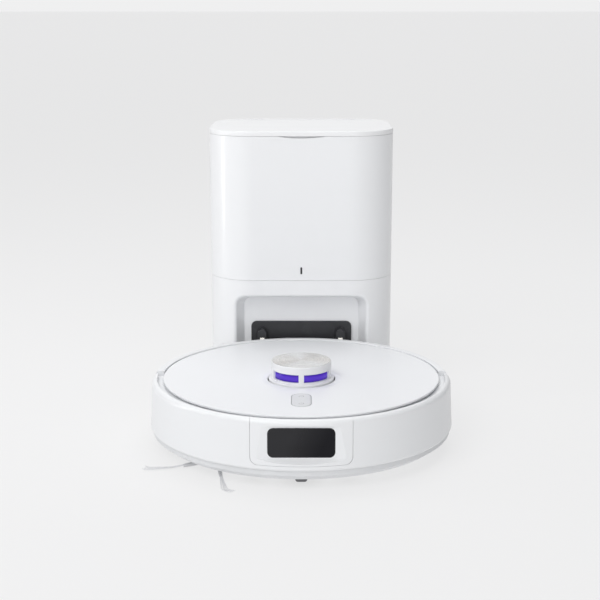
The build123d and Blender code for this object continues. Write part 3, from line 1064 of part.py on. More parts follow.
def dock_upper_shell():
    shell = column(0, SPLIT_Z, RIM_Z) - column(SHELL_T, SPLIT_Z + SHELF_T, RIM_Z + 1)
    barrel = LID_T / 2 + SEAM
    bridge = column(0, RIM_Z - 3, LID_TOP) & block(-REACH, REACH, HINGE_Y, REACH, 0, 2 * RIM_Z)
    bridge -= block(-REACH, REACH, HINGE_Y + 10, COLUMN_D / 2 - SHELL_T - 2, 0, RIM_Z + 2) & \
        column(SHELL_T + 1, 0, REACH + RIM_Z)
    shell += bridge
    shell -= rod_x(barrel, -REACH, REACH, HINGE_Y, HINGE_Z)
    shell -= block(-REACH, REACH, HINGE_Y - 1, HINGE_Y + barrel, HINGE_Z, LID_TOP + 1)
    shell -= block(-INLET_HALF + 4, INLET_HALF - 4, DUCT_Y - DUCT_D / 2 - 0.1,
                   DUCT_Y + DUCT_D / 2 + 0.1, SPLIT_Z - 1, SPLIT_Z + SHELF_T + 1)
    shell -= disc(DOCK_EYE_R, SPLIT_Z - 1, SPLIT_Z + SHELF_T + 1, DOCK_FAN_X, DOCK_FAN_Y)
    for x in (-KNUCKLE_X, KNUCKLE_X):
        knuckle = rod_x(KNUCKLE_R, x - KNUCKLE_W / 2, x + KNUCKLE_W / 2, HINGE_Y, HINGE_Z)
        knuckle += block(x - KNUCKLE_W / 2, x + KNUCKLE_W / 2, HINGE_Y, HINGE_Y + barrel + 1,
                         HINGE_Z - KNUCKLE_R, HINGE_Z)
        shell += knuckle - rod_x(HINGE_PIN_R + RUNNING, -REACH, REACH, HINGE_Y, HINGE_Z)
    notch_r = (NOTCH_HALF ** 2 + NOTCH_DEPTH ** 2) / (2 * NOTCH_DEPTH)
    shell -= rod_y(notch_r, COLUMN_FRONT - 5, COLUMN_FRONT + SHELL_T + 1, 0, RIM_Z - NOTCH_DEPTH + notch_r)
    return shell - upright(LIGHT_W + 0.2, LIGHT_Z0 - 0.1, LIGHT_Z1 + 0.1, (LIGHT_W + 0.2) / 2 - 0.01,
                           COLUMN_FRONT - 1, COLUMN_FRONT + LIGHT_T + 0.1)


def status_light():
    return upright(LIGHT_W, LIGHT_Z0, LIGHT_Z1, LIGHT_W / 2 - 0.01, COLUMN_FRONT, COLUMN_FRONT + LIGHT_T)


def dock_lid():
    keep = block(-REACH, REACH, -REACH, HINGE_Y, 0, 2 * LID_TOP)
    slab = column(0, RIM_Z + SEAM, LID_TOP)
    slab = fillet(slab.edges().group_by(Axis.Z)[-1], LID_EDGE) & keep
    lift = block(-REACH, REACH, -REACH, HINGE_Y - 14, 0, 2 * LID_TOP)
    inset = SHELL_T + 1.2
    skirt = column(inset, RIM_Z + SEAM - LID_SKIRT_H, RIM_Z + SEAM + 1)
    skirt -= column(inset + LID_SKIRT_T, 0, RIM_Z + SEAM + 2)
    barrel = rod_x(LID_T / 2, -REACH, REACH, HINGE_Y, HINGE_Z) & column(1.0, RIM_Z, LID_TOP + 1)
    lid = slab + barrel + (skirt & lift)
    for x in (-KNUCKLE_X, KNUCKLE_X):
        half = KNUCKLE_W / 2 + SLIP
        lid -= block(x - half, x + half, HINGE_Y - KNUCKLE_ROOM, HINGE_Y + KNUCKLE_ROOM, RIM_Z, LID_TOP + 1)
        lid += rod_x(HINGE_PIN_R, x - half - 1, x + half + 1, HINGE_Y, HINGE_Z)
    return lid


def contact_plate():
    plate = upright(PLATE_W, PLATE_Z0, PLATE_Z1, PLATE_CORNER, PLATE_Y, RECESS_BACK_Y - 0.02)
    for side in (-1, 1):
        x = side * POST_X
        post = upright(POST_W, POST_Z0, POST_Z1, POST_W / 2 - 0.01, PLATE_Y - POST_D, PLATE_Y + 0.5, x)
        plate += fillet(post.edges().group_by(Axis.Y)[0], 1.4)
        plate -= contact_slot(x, SLIP / 2)
    inner = INLET_HALF - SEAL_T
    return plate - upright(2 * inner, INLET_Z0 + SEAL_T, INLET_Z1 - SEAL_T, 6, PLATE_Y - 1, RECESS_BACK_Y + 1)


def contact_slot(x, grow):
    half = CONTACT_W / 2 + grow
    return block(x - half, x + half, PLATE_Y - POST_D - 1, RECESS_BACK_Y + 1, CONTACT_Z0 - grow,
                 CONTACT_Z1 + grow)


def charge_contact(side):
    """A bowed nickel strip that springs back into its post."""
    y0 = PLATE_Y - POST_D - CONTACT_REACH
    tail = RECESS_BACK_Y - CONTACT_TRAVEL - 0.6
    middle = (CONTACT_Z0 + CONTACT_Z1) / 2
    t = CONTACT_T
    outline = [(tail, CONTACT_Z1), (y0 + 3.6, CONTACT_Z1), (y0 + 0.4, middle + 5), (y0, middle),
               (y0 + 0.4, middle - 5), (y0 + 3.6, CONTACT_Z0), (tail, CONTACT_Z0), (tail, CONTACT_Z0 + t),
               (y0 + 4.2, CONTACT_Z0 + t), (y0 + t + 0.4, middle - 4.6), (y0 + t, middle),
               (y0 + t + 0.4, middle + 4.6), (y0 + 4.2, CONTACT_Z1 - t), (tail, CONTACT_Z1 - t)]
    face = make_face(Polyline(*[(0, y, z) for y, z in outline], close=True))
    return Pos(side * POST_X, 0, 0) * extrude(face, CONTACT_W / 2, both=True, dir=(1, 0, 0))


def inlet_seal():
    """A rubber lip round the dust inlet, on the face of the contact plate."""
    y1 = PLATE_Y - 0.02
    outer = upright(2 * INLET_HALF, INLET_Z0, INLET_Z1, 8, y1 - SEAL_OUT, y1)
    hole = upright(2 * (INLET_HALF - SEAL_T), INLET_Z0 + SEAL_T, INLET_Z1 - SEAL_T, 6, y1 - SEAL_OUT - 1, y1 + 1)
    return fillet(outer.edges().group_by(Axis.Y)[0], 1.0) - hole


def suction_duct():
    """A box-section elbow from the inlet up to the shelf under the bag."""
    y0 = RECESS_BACK_Y + SHELL_T + 0.1
    half_in = INLET_HALF - SEAL_T
    half_out = half_in + DUCT_T
    y_front, y_rear = DUCT_Y - DUCT_D / 2, DUCT_Y + DUCT_D / 2
    z_top = SPLIT_Z - SEAM - 0.2
    z_low, z_high = INLET_Z0 + SEAL_T - DUCT_T, INLET_Z1 - SEAL_T + DUCT_T
    outer = block(-half_out, half_out, y0, y_rear, z_low, z_high)
    outer += block(-half_out, half_out, y_front, y_rear, z_low, z_top)
    outer = fillet(outer.edges().filter_by(Axis.X).sort_by(Axis.Z)[0:2], 8)
    inner = block(-half_in, half_in, y0 - 1, y_rear - DUCT_T, z_low + DUCT_T, z_high - DUCT_T)
    inner += block(-half_in, half_in, y_front + DUCT_T, y_rear - DUCT_T, z_low + DUCT_T, z_top + 1)
    return outer - inner


def dock_fan():
    body = disc(DOCK_FAN_R, DOCK_FAN_Z0, DOCK_FAN_Z1)
    body -= disc(DOCK_FAN_R - 3, DOCK_FAN_FLOOR_Z, DOCK_FAN_Z1 - 3)
    body -= disc(DOCK_EYE_R, DOCK_FAN_Z1 - 4, DOCK_FAN_Z1 + 1)
    body -= block(10, DOCK_FAN_R + 4, -9, 9, DOCK_FAN_FLOOR_Z + 3, DOCK_FAN_Z1 - 6)
    body -= ring(DOCK_FAN_R + 1, DOCK_FAN_R - 4, 60, 66) + ring(DOCK_FAN_R + 1, DOCK_FAN_R - 4, 74, 80)
    body += disc(1.5, DOCK_FAN_FLOOR_Z - 1, DOCK_FAN_FLOOR_Z + 22)
    body += block(-12, 12, DOCK_FAN_R - 8, DOCK_FAN_R + 6, DOCK_FAN_Z0, DOCK_FAN_Z0 + 10)
    foot = disc(DOCK_FAN_R - 6, BASE_Z1 - 1.95, DOCK_FAN_Z0 + 1)
    return Pos(DOCK_FAN_X, DOCK_FAN_Y, 0) * (body + foot)


def dock_impeller():
    return impeller(DOCK_IMPELLER_R, DOCK_IMPELLER_HUB_R, DOCK_FAN_FLOOR_Z + 3, DOCK_IMPELLER_H,
                    DOCK_FAN_X, DOCK_FAN_Y)


def dust_bag():
    """The bag's filled outline, and the card collar that slides over the duct's mouth."""
    z0 = SPLIT_Z + SHELF_T + 0.1
    collar = pad(COLLAR_W, COLLAR_D, 4, z0, z0 + COLLAR_T, 0, DUCT_Y)
    collar -= block(-INLET_HALF + 6, INLET_HALF - 6, DUCT_Y - 13, DUCT_Y + 13, z0 - 1, z0 + COLLAR_T + 1)
    bag = pad(BAG_W, BAG_D, BAG_CORNER, z0 + BAG_LIFT, z0 + BAG_LIFT + BAG_H)
    bag = fillet(bag.edges().group_by(Axis.Z)[-1] + bag.edges().group_by(Axis.Z)[0], 26)
    return Compound(children=[collar, bag])


def dock_board():
    x, y, z = DOCK_BOARD_X, DOCK_BOARD_Y, DOCK_BOARD_Z
    half = DOCK_BOARD_W / 2 - 8
    board = block(x - half, x + half, y, y + DOCK_BOARD_T, BASE_Z1 + 1 + z, BASE_Z1 + 1 + z + DOCK_BOARD_H)
    for dx, dz, w, d, h in ((-10, 24, 14, 10, 22), (8, 50, 16, 14, 18), (0, 72, 30, 5, 8)):
        board += block(x + dx - w / 2, x + dx + w / 2, y - d, y + 0.2, z + dz - h / 2 + 8, z + dz + h / 2 + 8)
    feet = block(x - half, x + half, y - 1.5, y + 3, BASE_Z1 - 1.95, BASE_Z1 + 2 + z)
    return board + feet


def power_inlet():
    y1 = COLUMN_D / 2
    body = upright(INLET_W, INLET_Z - INLET_H / 2, INLET_Z + INLET_H / 2, 2.5, y1 - INLET_DEPTH, y1, INLET_X)
    well = upright(INLET_W - 6, INLET_Z - INLET_H / 2 + 4, INLET_Z + INLET_H / 2 - 4, 5.5, y1 - 14, y1 + 1,
                   INLET_X)
    body -= well
    for dx in (-4.3, 4.3):
        body += rod_y(1.2, y1 - 15, y1 - 4, INLET_X + dx, INLET_Z)
    return body


def foot_places():
    x, y = COLUMN_W / 2 - FOOT_INSET, COLUMN_D / 2 - FOOT_INSET / 2
    tongue = COLUMN_FRONT - TONGUE_L + 16
    return ((-x, -y), (x, -y), (-x, y), (x, y), (-TONGUE_HALF + 18, tongue), (TONGUE_HALF - 18, tongue))


def dock_feet():
    feet = [disc(FOOT_R, 0, BASE_Z0 - 0.02, x, y) for x, y in foot_places()]
    feet.append(pad(SOLE_W, SOLE_D, 6, 0, BASE_Z0 - 0.02))
    return Compound(children=feet)


def dock_screws():
    screws = []
    for x, y in dock_screw_places():
        z0 = BASE_Z0 + 0.2
        head = disc(SCREW_HEAD_R, z0, z0 + SCREW_HEAD_T, x, y)
        head -= block(x - 1.8, x + 1.8, y - 0.4, y + 0.4, 0, z0 + 0.7) \
            + block(x - 0.4, x + 0.4, y - 1.8, y + 1.8, 0, z0 + 0.7)
        screws.append(head + disc(SCREW_R, z0 + 1, z0 + SCREW_L, x, y))
    return Compound(children=screws)


# ---- build and write --------------------------------------------------------------------
ROBOT_PARTS = {
    "chassis_base": chassis_base, "body_shell": body_shell, "top_cover": top_cover,
    "bumper_shell": bumper_shell, "bumper_panel": bumper_panel, "sensor_window": sensor_window,
    "front_camera": front_camera, "bumper_springs": bumper_springs, "home_button": home_button,
    "power_button": power_button, "lidar_turret": lidar_turret, "lidar_cap": lidar_cap,
    "lidar_head": lidar_head, "lidar_base": lidar_base, "lidar_motor": lidar_motor,
    "lidar_pulley": lidar_pulley, "lidar_belt": lidar_belt, "wheel_springs": wheel_springs,
    "wheel_arm_left": lambda: wheel_arm(-1), "wheel_arm_right": lambda: wheel_arm(1),
    "wheel_hub_left": lambda: wheel_hub(-1), "wheel_hub_right": lambda: wheel_hub(1),
    "tyre_left": lambda: tyre(-1), "tyre_right": lambda: tyre(1),
    "caster_fork": caster_fork, "caster_axle": caster_axle, "caster_wheel": caster_wheel,
    "main_brush": main_brush, "brush_guard": brush_guard, "brush_gearbox": brush_gearbox,
    "side_brush_hub": side_brush_hub, "side_brush_bristles": side_brush_bristles,
    "side_brush_motor": side_brush_motor, "dustbin": dustbin, "dust_filter": dust_filter,
    "outlet_flap": outlet_flap, "suction_fan": suction_fan, "suction_impeller": suction_impeller,
    "battery_pack": battery_pack, "main_board": main_board, "charge_strips": charge_strips,
    "cliff_sensors": cliff_sensors, "chassis_screws": chassis_screws,
}
DOCK_PARTS = {
    "dock_base": dock_base, "dock_lower_shell": dock_lower_shell, "dock_upper_shell": dock_upper_shell,
    "dock_lid": dock_lid, "status_light": status_light, "contact_plate": contact_plate,
    "charge_contact_left": lambda: charge_contact(-1), "charge_contact_right": lambda: charge_contact(1),
    "inlet_seal": inlet_seal, "suction_duct": suction_duct, "dock_fan": dock_fan,
    "dock_impeller": dock_impeller, "dust_bag": dust_bag, "dock_board": dock_board,
    "power_inlet": power_inlet, "dock_feet": dock_feet, "dock_screws": dock_screws,
}

os.makedirs("parts", exist_ok=True)
for name, make in ROBOT_PARTS.items():
    export_step(Pos(0, ROBOT_Y, 0) * make(), f"parts/{name}.step")
for name, make in DOCK_PARTS.items():
    export_step(make(), f"parts/{name}.step")
print("robot axis at y", round(ROBOT_Y, 2), "hinge at", round(HINGE_Y, 2), round(HINGE_Z, 2))
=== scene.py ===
# %% [markdown]
# # A robot vacuum in its dock
# The moving model was made in CAD, and it arrives here as a fixed frame: every node already has its place
# and its joint. What is left is what the eye meets, which is light, surfaces and the small soft or
# printed things that CAD leaves plain. All sizes are in metres, and places are read from the frame, so the
# pieces stay where they belong when the frame changes.

# %% The frame
import bpy
import math
import random
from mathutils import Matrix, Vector


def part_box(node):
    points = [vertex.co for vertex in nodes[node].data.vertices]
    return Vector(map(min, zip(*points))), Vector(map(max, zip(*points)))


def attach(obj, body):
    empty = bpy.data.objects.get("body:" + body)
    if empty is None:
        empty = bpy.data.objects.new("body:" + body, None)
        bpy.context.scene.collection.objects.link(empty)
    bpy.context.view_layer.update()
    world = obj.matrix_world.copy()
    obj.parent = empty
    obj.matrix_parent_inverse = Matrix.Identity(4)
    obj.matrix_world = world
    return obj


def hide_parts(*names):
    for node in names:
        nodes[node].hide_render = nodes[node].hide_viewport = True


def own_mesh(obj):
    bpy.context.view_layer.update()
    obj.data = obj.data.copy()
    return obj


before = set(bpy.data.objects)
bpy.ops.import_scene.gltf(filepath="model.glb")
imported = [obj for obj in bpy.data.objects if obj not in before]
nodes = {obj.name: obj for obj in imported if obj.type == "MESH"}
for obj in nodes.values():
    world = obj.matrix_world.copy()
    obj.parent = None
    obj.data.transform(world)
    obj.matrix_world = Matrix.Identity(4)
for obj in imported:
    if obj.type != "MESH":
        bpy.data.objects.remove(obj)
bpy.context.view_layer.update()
MM = 0.001


def middle(node):
    low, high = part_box(node)
    return (low + high) / 2


robot_axis = middle("top_cover")
scanner_axis = middle("lidar_cap")
print("nodes:", len(nodes), "robot axis at", [round(v, 4) for v in robot_axis])

# %% [markdown]
# ## The camera
# A product shot is taken from far off with a long lens, so that a round object stays round and a box keeps
# its upright sides. The camera stands in front of the robot at about half a metre's height and looks down a
# little, enough to show the top cover as a flat ellipse. Its distance is given from the robot's own axis.

# %% The camera
CAMERA_DISTANCE = 1.4608
CAMERA_HEIGHT = 0.4957
CAMERA_PITCH = math.radians(12.68)
CAMERA_LENS = 78.0
CAMERA_SHIFT = -0.0022

scene = bpy.context.scene
camera_data = bpy.data.cameras.new("studio_camera")
camera_data.lens = CAMERA_LENS
camera_data.shift_x = CAMERA_SHIFT
camera = bpy.data.objects.new("studio_camera", camera_data)
camera.location = (robot_axis.x, robot_axis.y - CAMERA_DISTANCE, CAMERA_HEIGHT)
camera.rotation_euler = (math.pi / 2 - CAMERA_PITCH, 0, 0)
scene.collection.objects.link(camera)
scene.camera = camera
scene.view_settings.view_transform = "Standard"
print("camera", [round(v, 3) for v in camera.location])

# %% [markdown]
# ## Writing a finish
# A finish is a small graph of nodes. Drawing it in the editor is pleasant for one material and slow for
# thirty, so it is written as sums instead. `Wire` holds a socket and turns `a * 0.5 + b` into Math nodes.
# `Finish` holds one material, and its `node` method makes every other kind of node: first its settings,
# then what goes into its sockets.

# %% Wires and finishes
class Wire:
    """The output of a node, which can be added, multiplied and subtracted like a number."""

    def __init__(self, finish, socket):
        self.finish, self.socket = finish, socket

    def math(self, operation, first, second=0.0, clamp=False):
        return self.finish.node("Math", {"operation": operation, "use_clamp": clamp}, {0: first, 1: second})

    def __add__(self, other):
        return self.math("ADD", self, other)

    def __sub__(self, other):
        return self.math("SUBTRACT", self, other)

    def __rsub__(self, other):
        return self.math("SUBTRACT", other, self)

    def __mul__(self, other):
        return self.math("MULTIPLY", self, other)

    def above(self, level):
        return self.math("GREATER_THAN", self, level)

    def power(self, exponent):
        return self.math("POWER", self, exponent)

    def clamped(self):
        return self.math("ADD", self, 0.0, clamp=True)

    def sine(self):
        return self.math("SINE", self)

    def size(self):
        return self.math("ABSOLUTE", self)

    __radd__ = __add__
    __rmul__ = __mul__


class Finish:
    """One material. Its keyword values go to the shader's own sockets."""

    def __init__(self, name, **constants):
        self.material = bpy.data.materials.new(name)
        self.material.use_nodes = True
        self.tree = self.material.node_tree
        self.shader = self.tree.nodes["Principled BSDF"]
        self.point = self.node("TexCoord", out="Object")
        for key, value in constants.items():
            self.set(key.replace("_", " ").title(), value)

    def node(self, kind, settings=None, inputs=None, out=0):
        made = self.tree.nodes.new("ShaderNode" + kind)
        for key, value in (settings or {}).items():
            if key == "stops":
                self.fill_ramp(made.color_ramp, value)
            else:
                setattr(made, key, value)
        for key, value in (inputs or {}).items():
            self.feed(made.inputs[key], value)
        return Wire(self, made.outputs[out])

    def fill_ramp(self, ramp, stops):
        while len(ramp.elements) < len(stops):
            ramp.elements.new(0.5)
        for element, (place, colour) in zip(ramp.elements, stops):
            element.position = place
            element.color = (*colour, 1.0)

    def feed(self, socket, value):
        if isinstance(value, Wire):
            self.tree.links.new(value.socket, socket)
        elif socket.type == "RGBA" and len(value) == 3:
            socket.default_value = (*value, 1.0)
        else:
            socket.default_value = value

    def set(self, name, value):
        self.feed(self.shader.inputs[name.replace("Ior", "IOR")], value)
        return self

    def noise(self, scale, detail=2.0, rough=0.5, at=None):
        return self.node("TexNoise", None, {"Vector": at or self.point, "Scale": scale, "Detail": detail,
                                            "Roughness": rough})

    def cells(self, scale, feature="F1"):
        return self.node("TexVoronoi", {"feature": feature}, {"Vector": self.point, "Scale": scale},
                         out="Distance")

    def stretched(self, factors):
        return self.node("Mapping", None, {"Vector": self.point, "Scale": factors})

    def axes(self, at=None):
        split = self.node("SeparateXYZ", None, {0: at or self.point})
        outputs = split.socket.node.outputs
        return [Wire(self, outputs[i]) for i in range(3)]

    def blend(self, amount, first, second):
        mixer = self.tree.nodes.new("ShaderNodeMix")
        mixer.data_type = "RGBA"
        colours = [s for s in mixer.inputs if s.type == "RGBA"]
        self.feed(mixer.inputs[0], amount)
        self.feed(colours[0], first)
        self.feed(colours[1], second)
        return Wire(self, next(s for s in mixer.outputs if s.type == "RGBA"))

    def relief(self, height, depth, strength=1.0):
        """Bumps of a real depth in metres, from a height between 0 and 1."""
        self.set("Normal", self.node("Bump", None, {"Height": height, "Distance": depth,
                                                   "Strength": strength}))
        return self


def shade(colour, factor):
    return tuple(min(1.0, c * factor) for c in colour)


print("a paler grey of 0.5:", shade((0.5, 0.5, 0.5), 1.2))

# %% [markdown]
# ## Moulded plastics
# Almost everything here is injection moulded. Polished tools give a surface with a very faint ripple, like
# orange peel, and it picks up a film of fingerprints that only shows in the reflections. Etched tools give
# a leather-like grain that hides marks. Both are noise at the right scale: the ripple is a few millimetres
# wide and a few micrometres deep, and the grain is half a millimetre wide and ten times as deep.

# %% Glossy and grained plastic
RIPPLE_PER_METRE = 260.0
FILM_PER_METRE = 22.0
GRAIN_PER_METRE = 2300.0
STREAKS_PER_METRE, STREAK_SQUEEZE = 9.0, (1.0, 1.0, 7.0)
DUST_PER_METRE, DUST_LEVEL, DUST_GREY = 1900.0, 0.735, (0.42, 0.42, 0.41)
WEAR_PER_METRE, WEAR_LEVEL, WEAR_CONTRAST = 34.0, 0.52, 5.0


def polished(name, colour, rough, coat=0.35, film=0.07, ripple=6e-6, tint=0.985):
    """Gloss plastic: a slow change of tone, a film of handling marks and a faint ripple."""
    finish = Finish(name, coat_roughness=0.06, ior=1.5)
    film_marks = finish.noise(FILM_PER_METRE, 5.0, 0.62)
    streaks = finish.noise(STREAKS_PER_METRE, 3.0, 0.5, at=finish.stretched(STREAK_SQUEEZE))
    dust = finish.noise(DUST_PER_METRE, 1.0, 0.5).above(DUST_LEVEL)
    tone = finish.blend(streaks * 0.8, colour, shade(colour, tint))
    tone = finish.blend(dust * 0.10, tone, DUST_GREY)
    finish.set("Base Color", tone)
    finish.set("Roughness", film_marks * film + (rough - film / 2) + dust * 0.12)
    finish.set("Coat Weight", coat - film_marks * film)
    return finish.relief(finish.noise(RIPPLE_PER_METRE, 2.0, 0.4), ripple)


def grained(name, colour, rough=0.5, depth=3.5e-5, wear=0.12, worn=None):
    """Etched plastic: a leather-like grain, rubbed smoother and paler in patches."""
    finish = Finish(name, ior=1.48)
    grain = finish.cells(GRAIN_PER_METRE)
    rubbed = ((finish.noise(WEAR_PER_METRE, 6.0, 0.68) - WEAR_LEVEL) * WEAR_CONTRAST).clamped()
    soft = finish.noise(6.0, 2.0, 0.5)
    tone = finish.blend(soft * 0.5, colour, shade(colour, 0.93))
    tone = finish.blend(rubbed * wear, tone, worn or shade(colour, 1.35))
    finish.set("Base Color", tone)
    finish.set("Roughness", finish.noise(160.0, 2.0, 0.5) * 0.10 + (rough - 0.05) - rubbed * 0.08)
    return finish.relief(grain * (1.0 - rubbed * 0.6), depth)


WHITE = (0.855, 0.865, 0.885)
cover_white = polished("cover_white", WHITE, 0.42, coat=0.1, film=0.06)
bumper_white = polished("bumper_white", (0.845, 0.855, 0.87), 0.34, coat=0.22)
body_white = polished("body_white", (0.84, 0.85, 0.866), 0.34, coat=0.2)
dock_white = polished("dock_white", (0.86, 0.868, 0.882), 0.30, coat=0.3, film=0.05, ripple=8e-6)
lid_white = polished("lid_white", (0.875, 0.88, 0.89), 0.38, coat=0.15)
turret_white = polished("turret_white", (0.84, 0.845, 0.86), 0.3, coat=0.3)
button_white = grained("button_white", (0.72, 0.73, 0.75), 0.38, depth=1.2e-5, wear=0.2)
chassis_grey = grained("chassis_grey", (0.74, 0.75, 0.765), 0.5, depth=5e-5)
dock_foot_grey = grained("dock_foot_grey", (0.36, 0.37, 0.385), 0.6, depth=6e-5)
graphite = grained("graphite", (0.028, 0.029, 0.033), 0.46, depth=2e-5, wear=0.25, worn=(0.075, 0.075, 0.08))
wheel_grey = grained("wheel_grey", (0.11, 0.112, 0.12), 0.5, depth=4e-5)
inner_grey = grained("inner_grey", (0.17, 0.175, 0.185), 0.55, depth=4e-5)
print("plastics:", 12)

# %% [markdown]
# ## Metals
# Three metals show. The turret's cap is an aluminium disc turned on a lathe: the tool leaves rings, and rings
# spread a highlight into a bow tie that always points away from the light. A shader does this with
# anisotropy, which stretches the highlight across the rings, and the rings themselves are noise read along
# the radius. The bow tie is also painted into the cap's colour as a painted reflection: lighter and darker,
# warmer wedges round its axis. The contacts are nickel, smooth with a few scratches. Screws, springs and
# motor cans are plated steel, which is duller and slightly blotched.

# %% Metal
RINGS_PER_METRE, WIDE_RINGS_PER_METRE = 2600.0, 420.0
# the darker, warmer colour of the wedges in the cap's painted bow-tie reflection
PAINTED_BOWTIE_DARK = (0.70, 0.665, 0.62)
BLOTCHES_PER_METRE = 240.0
SCRATCHES_PER_METRE, SCRATCH_SQUEEZE, SCRATCH_LEVEL = 60.0, (1.0, 14.0, 60.0), 0.66


def turned_metal(name, colour, centre):
    finish = Finish(name, metallic=1.0, anisotropic=0.78, coat_weight=0.12, coat_roughness=0.2)
    place = finish.node("VectorMath", {"operation": "SUBTRACT"}, {0: finish.point, 1: tuple(centre)})
    x, y, _ = finish.axes(place)
    radius = (x * x + y * y).power(0.5)
    along = finish.node("CombineXYZ", None, {0: radius})
    rings = finish.node("TexNoise", None, {"Vector": along, "Scale": RINGS_PER_METRE, "Detail": 3.0})
    wide_rings = finish.node("TexNoise", None, {"Vector": along, "Scale": WIDE_RINGS_PER_METRE,
                                                "Detail": 1.0})
    angle = finish.node("Math", {"operation": "ARCTAN2"}, {0: y, 1: x})
    # painted reflection: two- and five-fold wedges round the cap's axis paint the bow tie's light and dark
    # sectors into the base colour
    painted_bowtie = ((angle * 2.0 + 0.9).sine() * 0.34 + (angle * 5.0 + 2.1).sine() * 0.16 + 0.5).clamped()
    bowtie_tone = finish.blend(painted_bowtie * 0.8, colour, PAINTED_BOWTIE_DARK)
    finish.set("Base Color", finish.blend(rings * 0.22, bowtie_tone, shade(colour, 0.66)))
    finish.set("Roughness", rings * 0.10 + wide_rings * 0.04 + 0.20)
    return finish.relief(rings, 4e-6)


def plated(name, colour, rough, scratches=0.3):
    finish = Finish(name, metallic=1.0)
    blotch = finish.noise(BLOTCHES_PER_METRE, 4.0, 0.6)
    lines = finish.noise(SCRATCHES_PER_METRE, 2.0, 0.5, at=finish.stretched(SCRATCH_SQUEEZE))
    scored = lines.above(SCRATCH_LEVEL) * scratches
    finish.set("Base Color", finish.blend(blotch * 0.5, colour, shade(colour, 0.72)))
    finish.set("Roughness", blotch * 0.18 + scored * 0.3 + rough)
    return finish.relief(lines, 3e-6)


cap_metal = turned_metal("cap_metal", (0.93, 0.925, 0.915), scanner_axis)
nickel = plated("nickel", (0.80, 0.78, 0.73), 0.14)
steel = plated("steel", (0.55, 0.55, 0.56), 0.28)
motor_steel = plated("motor_steel", (0.46, 0.47, 0.49), 0.34, scratches=0.6)
print("metals:", 4)

# %% [markdown]
# ## Rubber, glass and the rest
# Rubber is nearly black, but what the eye reads is the dust on it, so dust is painted on in soft patches and
# roughness stays high. The sensor window is black acrylic: colour hardly matters, and the whole look is a
# clear, hard reflection with a trace of wiping. The scanner's window is violet acrylic with a painted glow,
# an emission that is strongest half way up and dies at the frame. The bag and the filter
# are fibres pressed flat, and get crossed fibre noise.

# %% Rubber, acrylic, fibre and boards
RUBBER_DUST = (0.20, 0.19, 0.175)
RUBBER_FINE_PER_METRE = 3000.0
WIPES_PER_METRE, WIPE_SQUEEZE = 14.0, (1.0, 1.0, 5.0)
SHEEN_SLANT, SHEEN_SHARPNESS = 0.55, 26.0
# the first two are the emission colours of the scanner window's painted glow, dim at the frame and brightest
# half way up
VIOLET_GLOW_DIM, VIOLET_GLOW_PEAK = (0.008, 0.004, 0.06), (0.13, 0.05, 0.78)
VIOLET_DEEP, VIOLET_PALE = (0.03, 0.012, 0.20), (0.06, 0.03, 0.30)
FIBRES_PER_METRE = 420.0
TRACKS_PER_METRE = 210.0


def rubber(name, colour, dusting=0.35, rough=0.72):
    finish = Finish(name, ior=1.5, sheen_weight=0.15, sheen_roughness=0.6)
    dust = ((finish.noise(70.0, 6.0, 0.7) - 0.45) * 4.0).clamped() * dusting
    fine = finish.noise(RUBBER_FINE_PER_METRE, 1.0, 0.5)
    finish.set("Base Color", finish.blend(dust, colour, RUBBER_DUST))
    finish.set("Roughness", dust * 0.2 + fine * 0.06 + (rough - 0.03))
    return finish.relief(fine, 1.5e-5)


def black_acrylic(name, colour, sheen_through=None):
    """Black acrylic; a sheen point and slope give it a brighter, slanted half."""
    finish = Finish(name, ior=1.22, coat_roughness=0.015)
    wiped = finish.noise(WIPES_PER_METRE, 3.0, 0.5, at=finish.stretched(WIPE_SQUEEZE))
    dust = finish.noise(2600.0, 1.0, 0.5).above(0.77)
    finish.set("Base Color", finish.blend(dust * 0.2, finish.blend(wiped, colour, shade(colour, 1.7)),
                                          (0.05, 0.05, 0.05)))
    finish.set("Roughness", wiped * 0.03 + dust * 0.3 + 0.05)
    if sheen_through:
        x, _, z = finish.axes()
        slant = (sheen_through[0] - x) + (z - sheen_through[1]) * SHEEN_SLANT
        edge = (slant * SHEEN_SHARPNESS + 0.5).clamped()
        finish.set("Coat Weight", edge * 0.55 + wiped * 0.05)
    return finish.relief(wiped, 2e-6)


def painted_glow_violet(name, low, high):
    """Violet acrylic with a painted glow: an emission between two heights, brightest near half way and dark at
    the frame.
    """
    finish = Finish(name, roughness=0.2, ior=1.3, coat_weight=0.1, coat_roughness=0.03,
                    emission_strength=0.48)
    _, _, height = finish.axes()
    share = (height - low) * (1.0 / (high - low))
    # painted glow: the emission rises to its peak a little under half way up the window and fades towards the
    # frame
    glow = 1.0 - ((share - 0.46) * 2.0).size().power(2.6)
    lens = finish.noise(90.0, 2.0, 0.5)
    colour = finish.blend(glow.clamped() * (lens * 0.3 + 0.85), VIOLET_GLOW_DIM, VIOLET_GLOW_PEAK)
    finish.set("Base Color", finish.blend(lens * 0.2, VIOLET_DEEP, VIOLET_PALE))
    finish.set("Emission Color", colour)
    return finish.relief(finish.noise(240.0, 1.0, 0.5), 3e-6)


def pressed_fibre(name, colour, fibre=0.4):
    finish = Finish(name, ior=1.4, sheen_weight=0.3, sheen_roughness=0.5)
    one = finish.noise(FIBRES_PER_METRE, 3.0, 0.6, at=finish.stretched((1.0, 5.0, 1.6)))
    other = finish.noise(FIBRES_PER_METRE, 3.0, 0.6, at=finish.stretched((5.0, 1.0, 1.6)))
    felt = one * 0.5 + other * 0.5
    bond = finish.cells(520.0, "SMOOTH_F1")
    finish.set("Base Color", finish.blend(felt * fibre, colour, shade(colour, 0.72)))
    finish.set("Roughness", felt * 0.15 + 0.78)
    return finish.relief(felt * 0.7 + bond * 0.3, 1.4e-4)


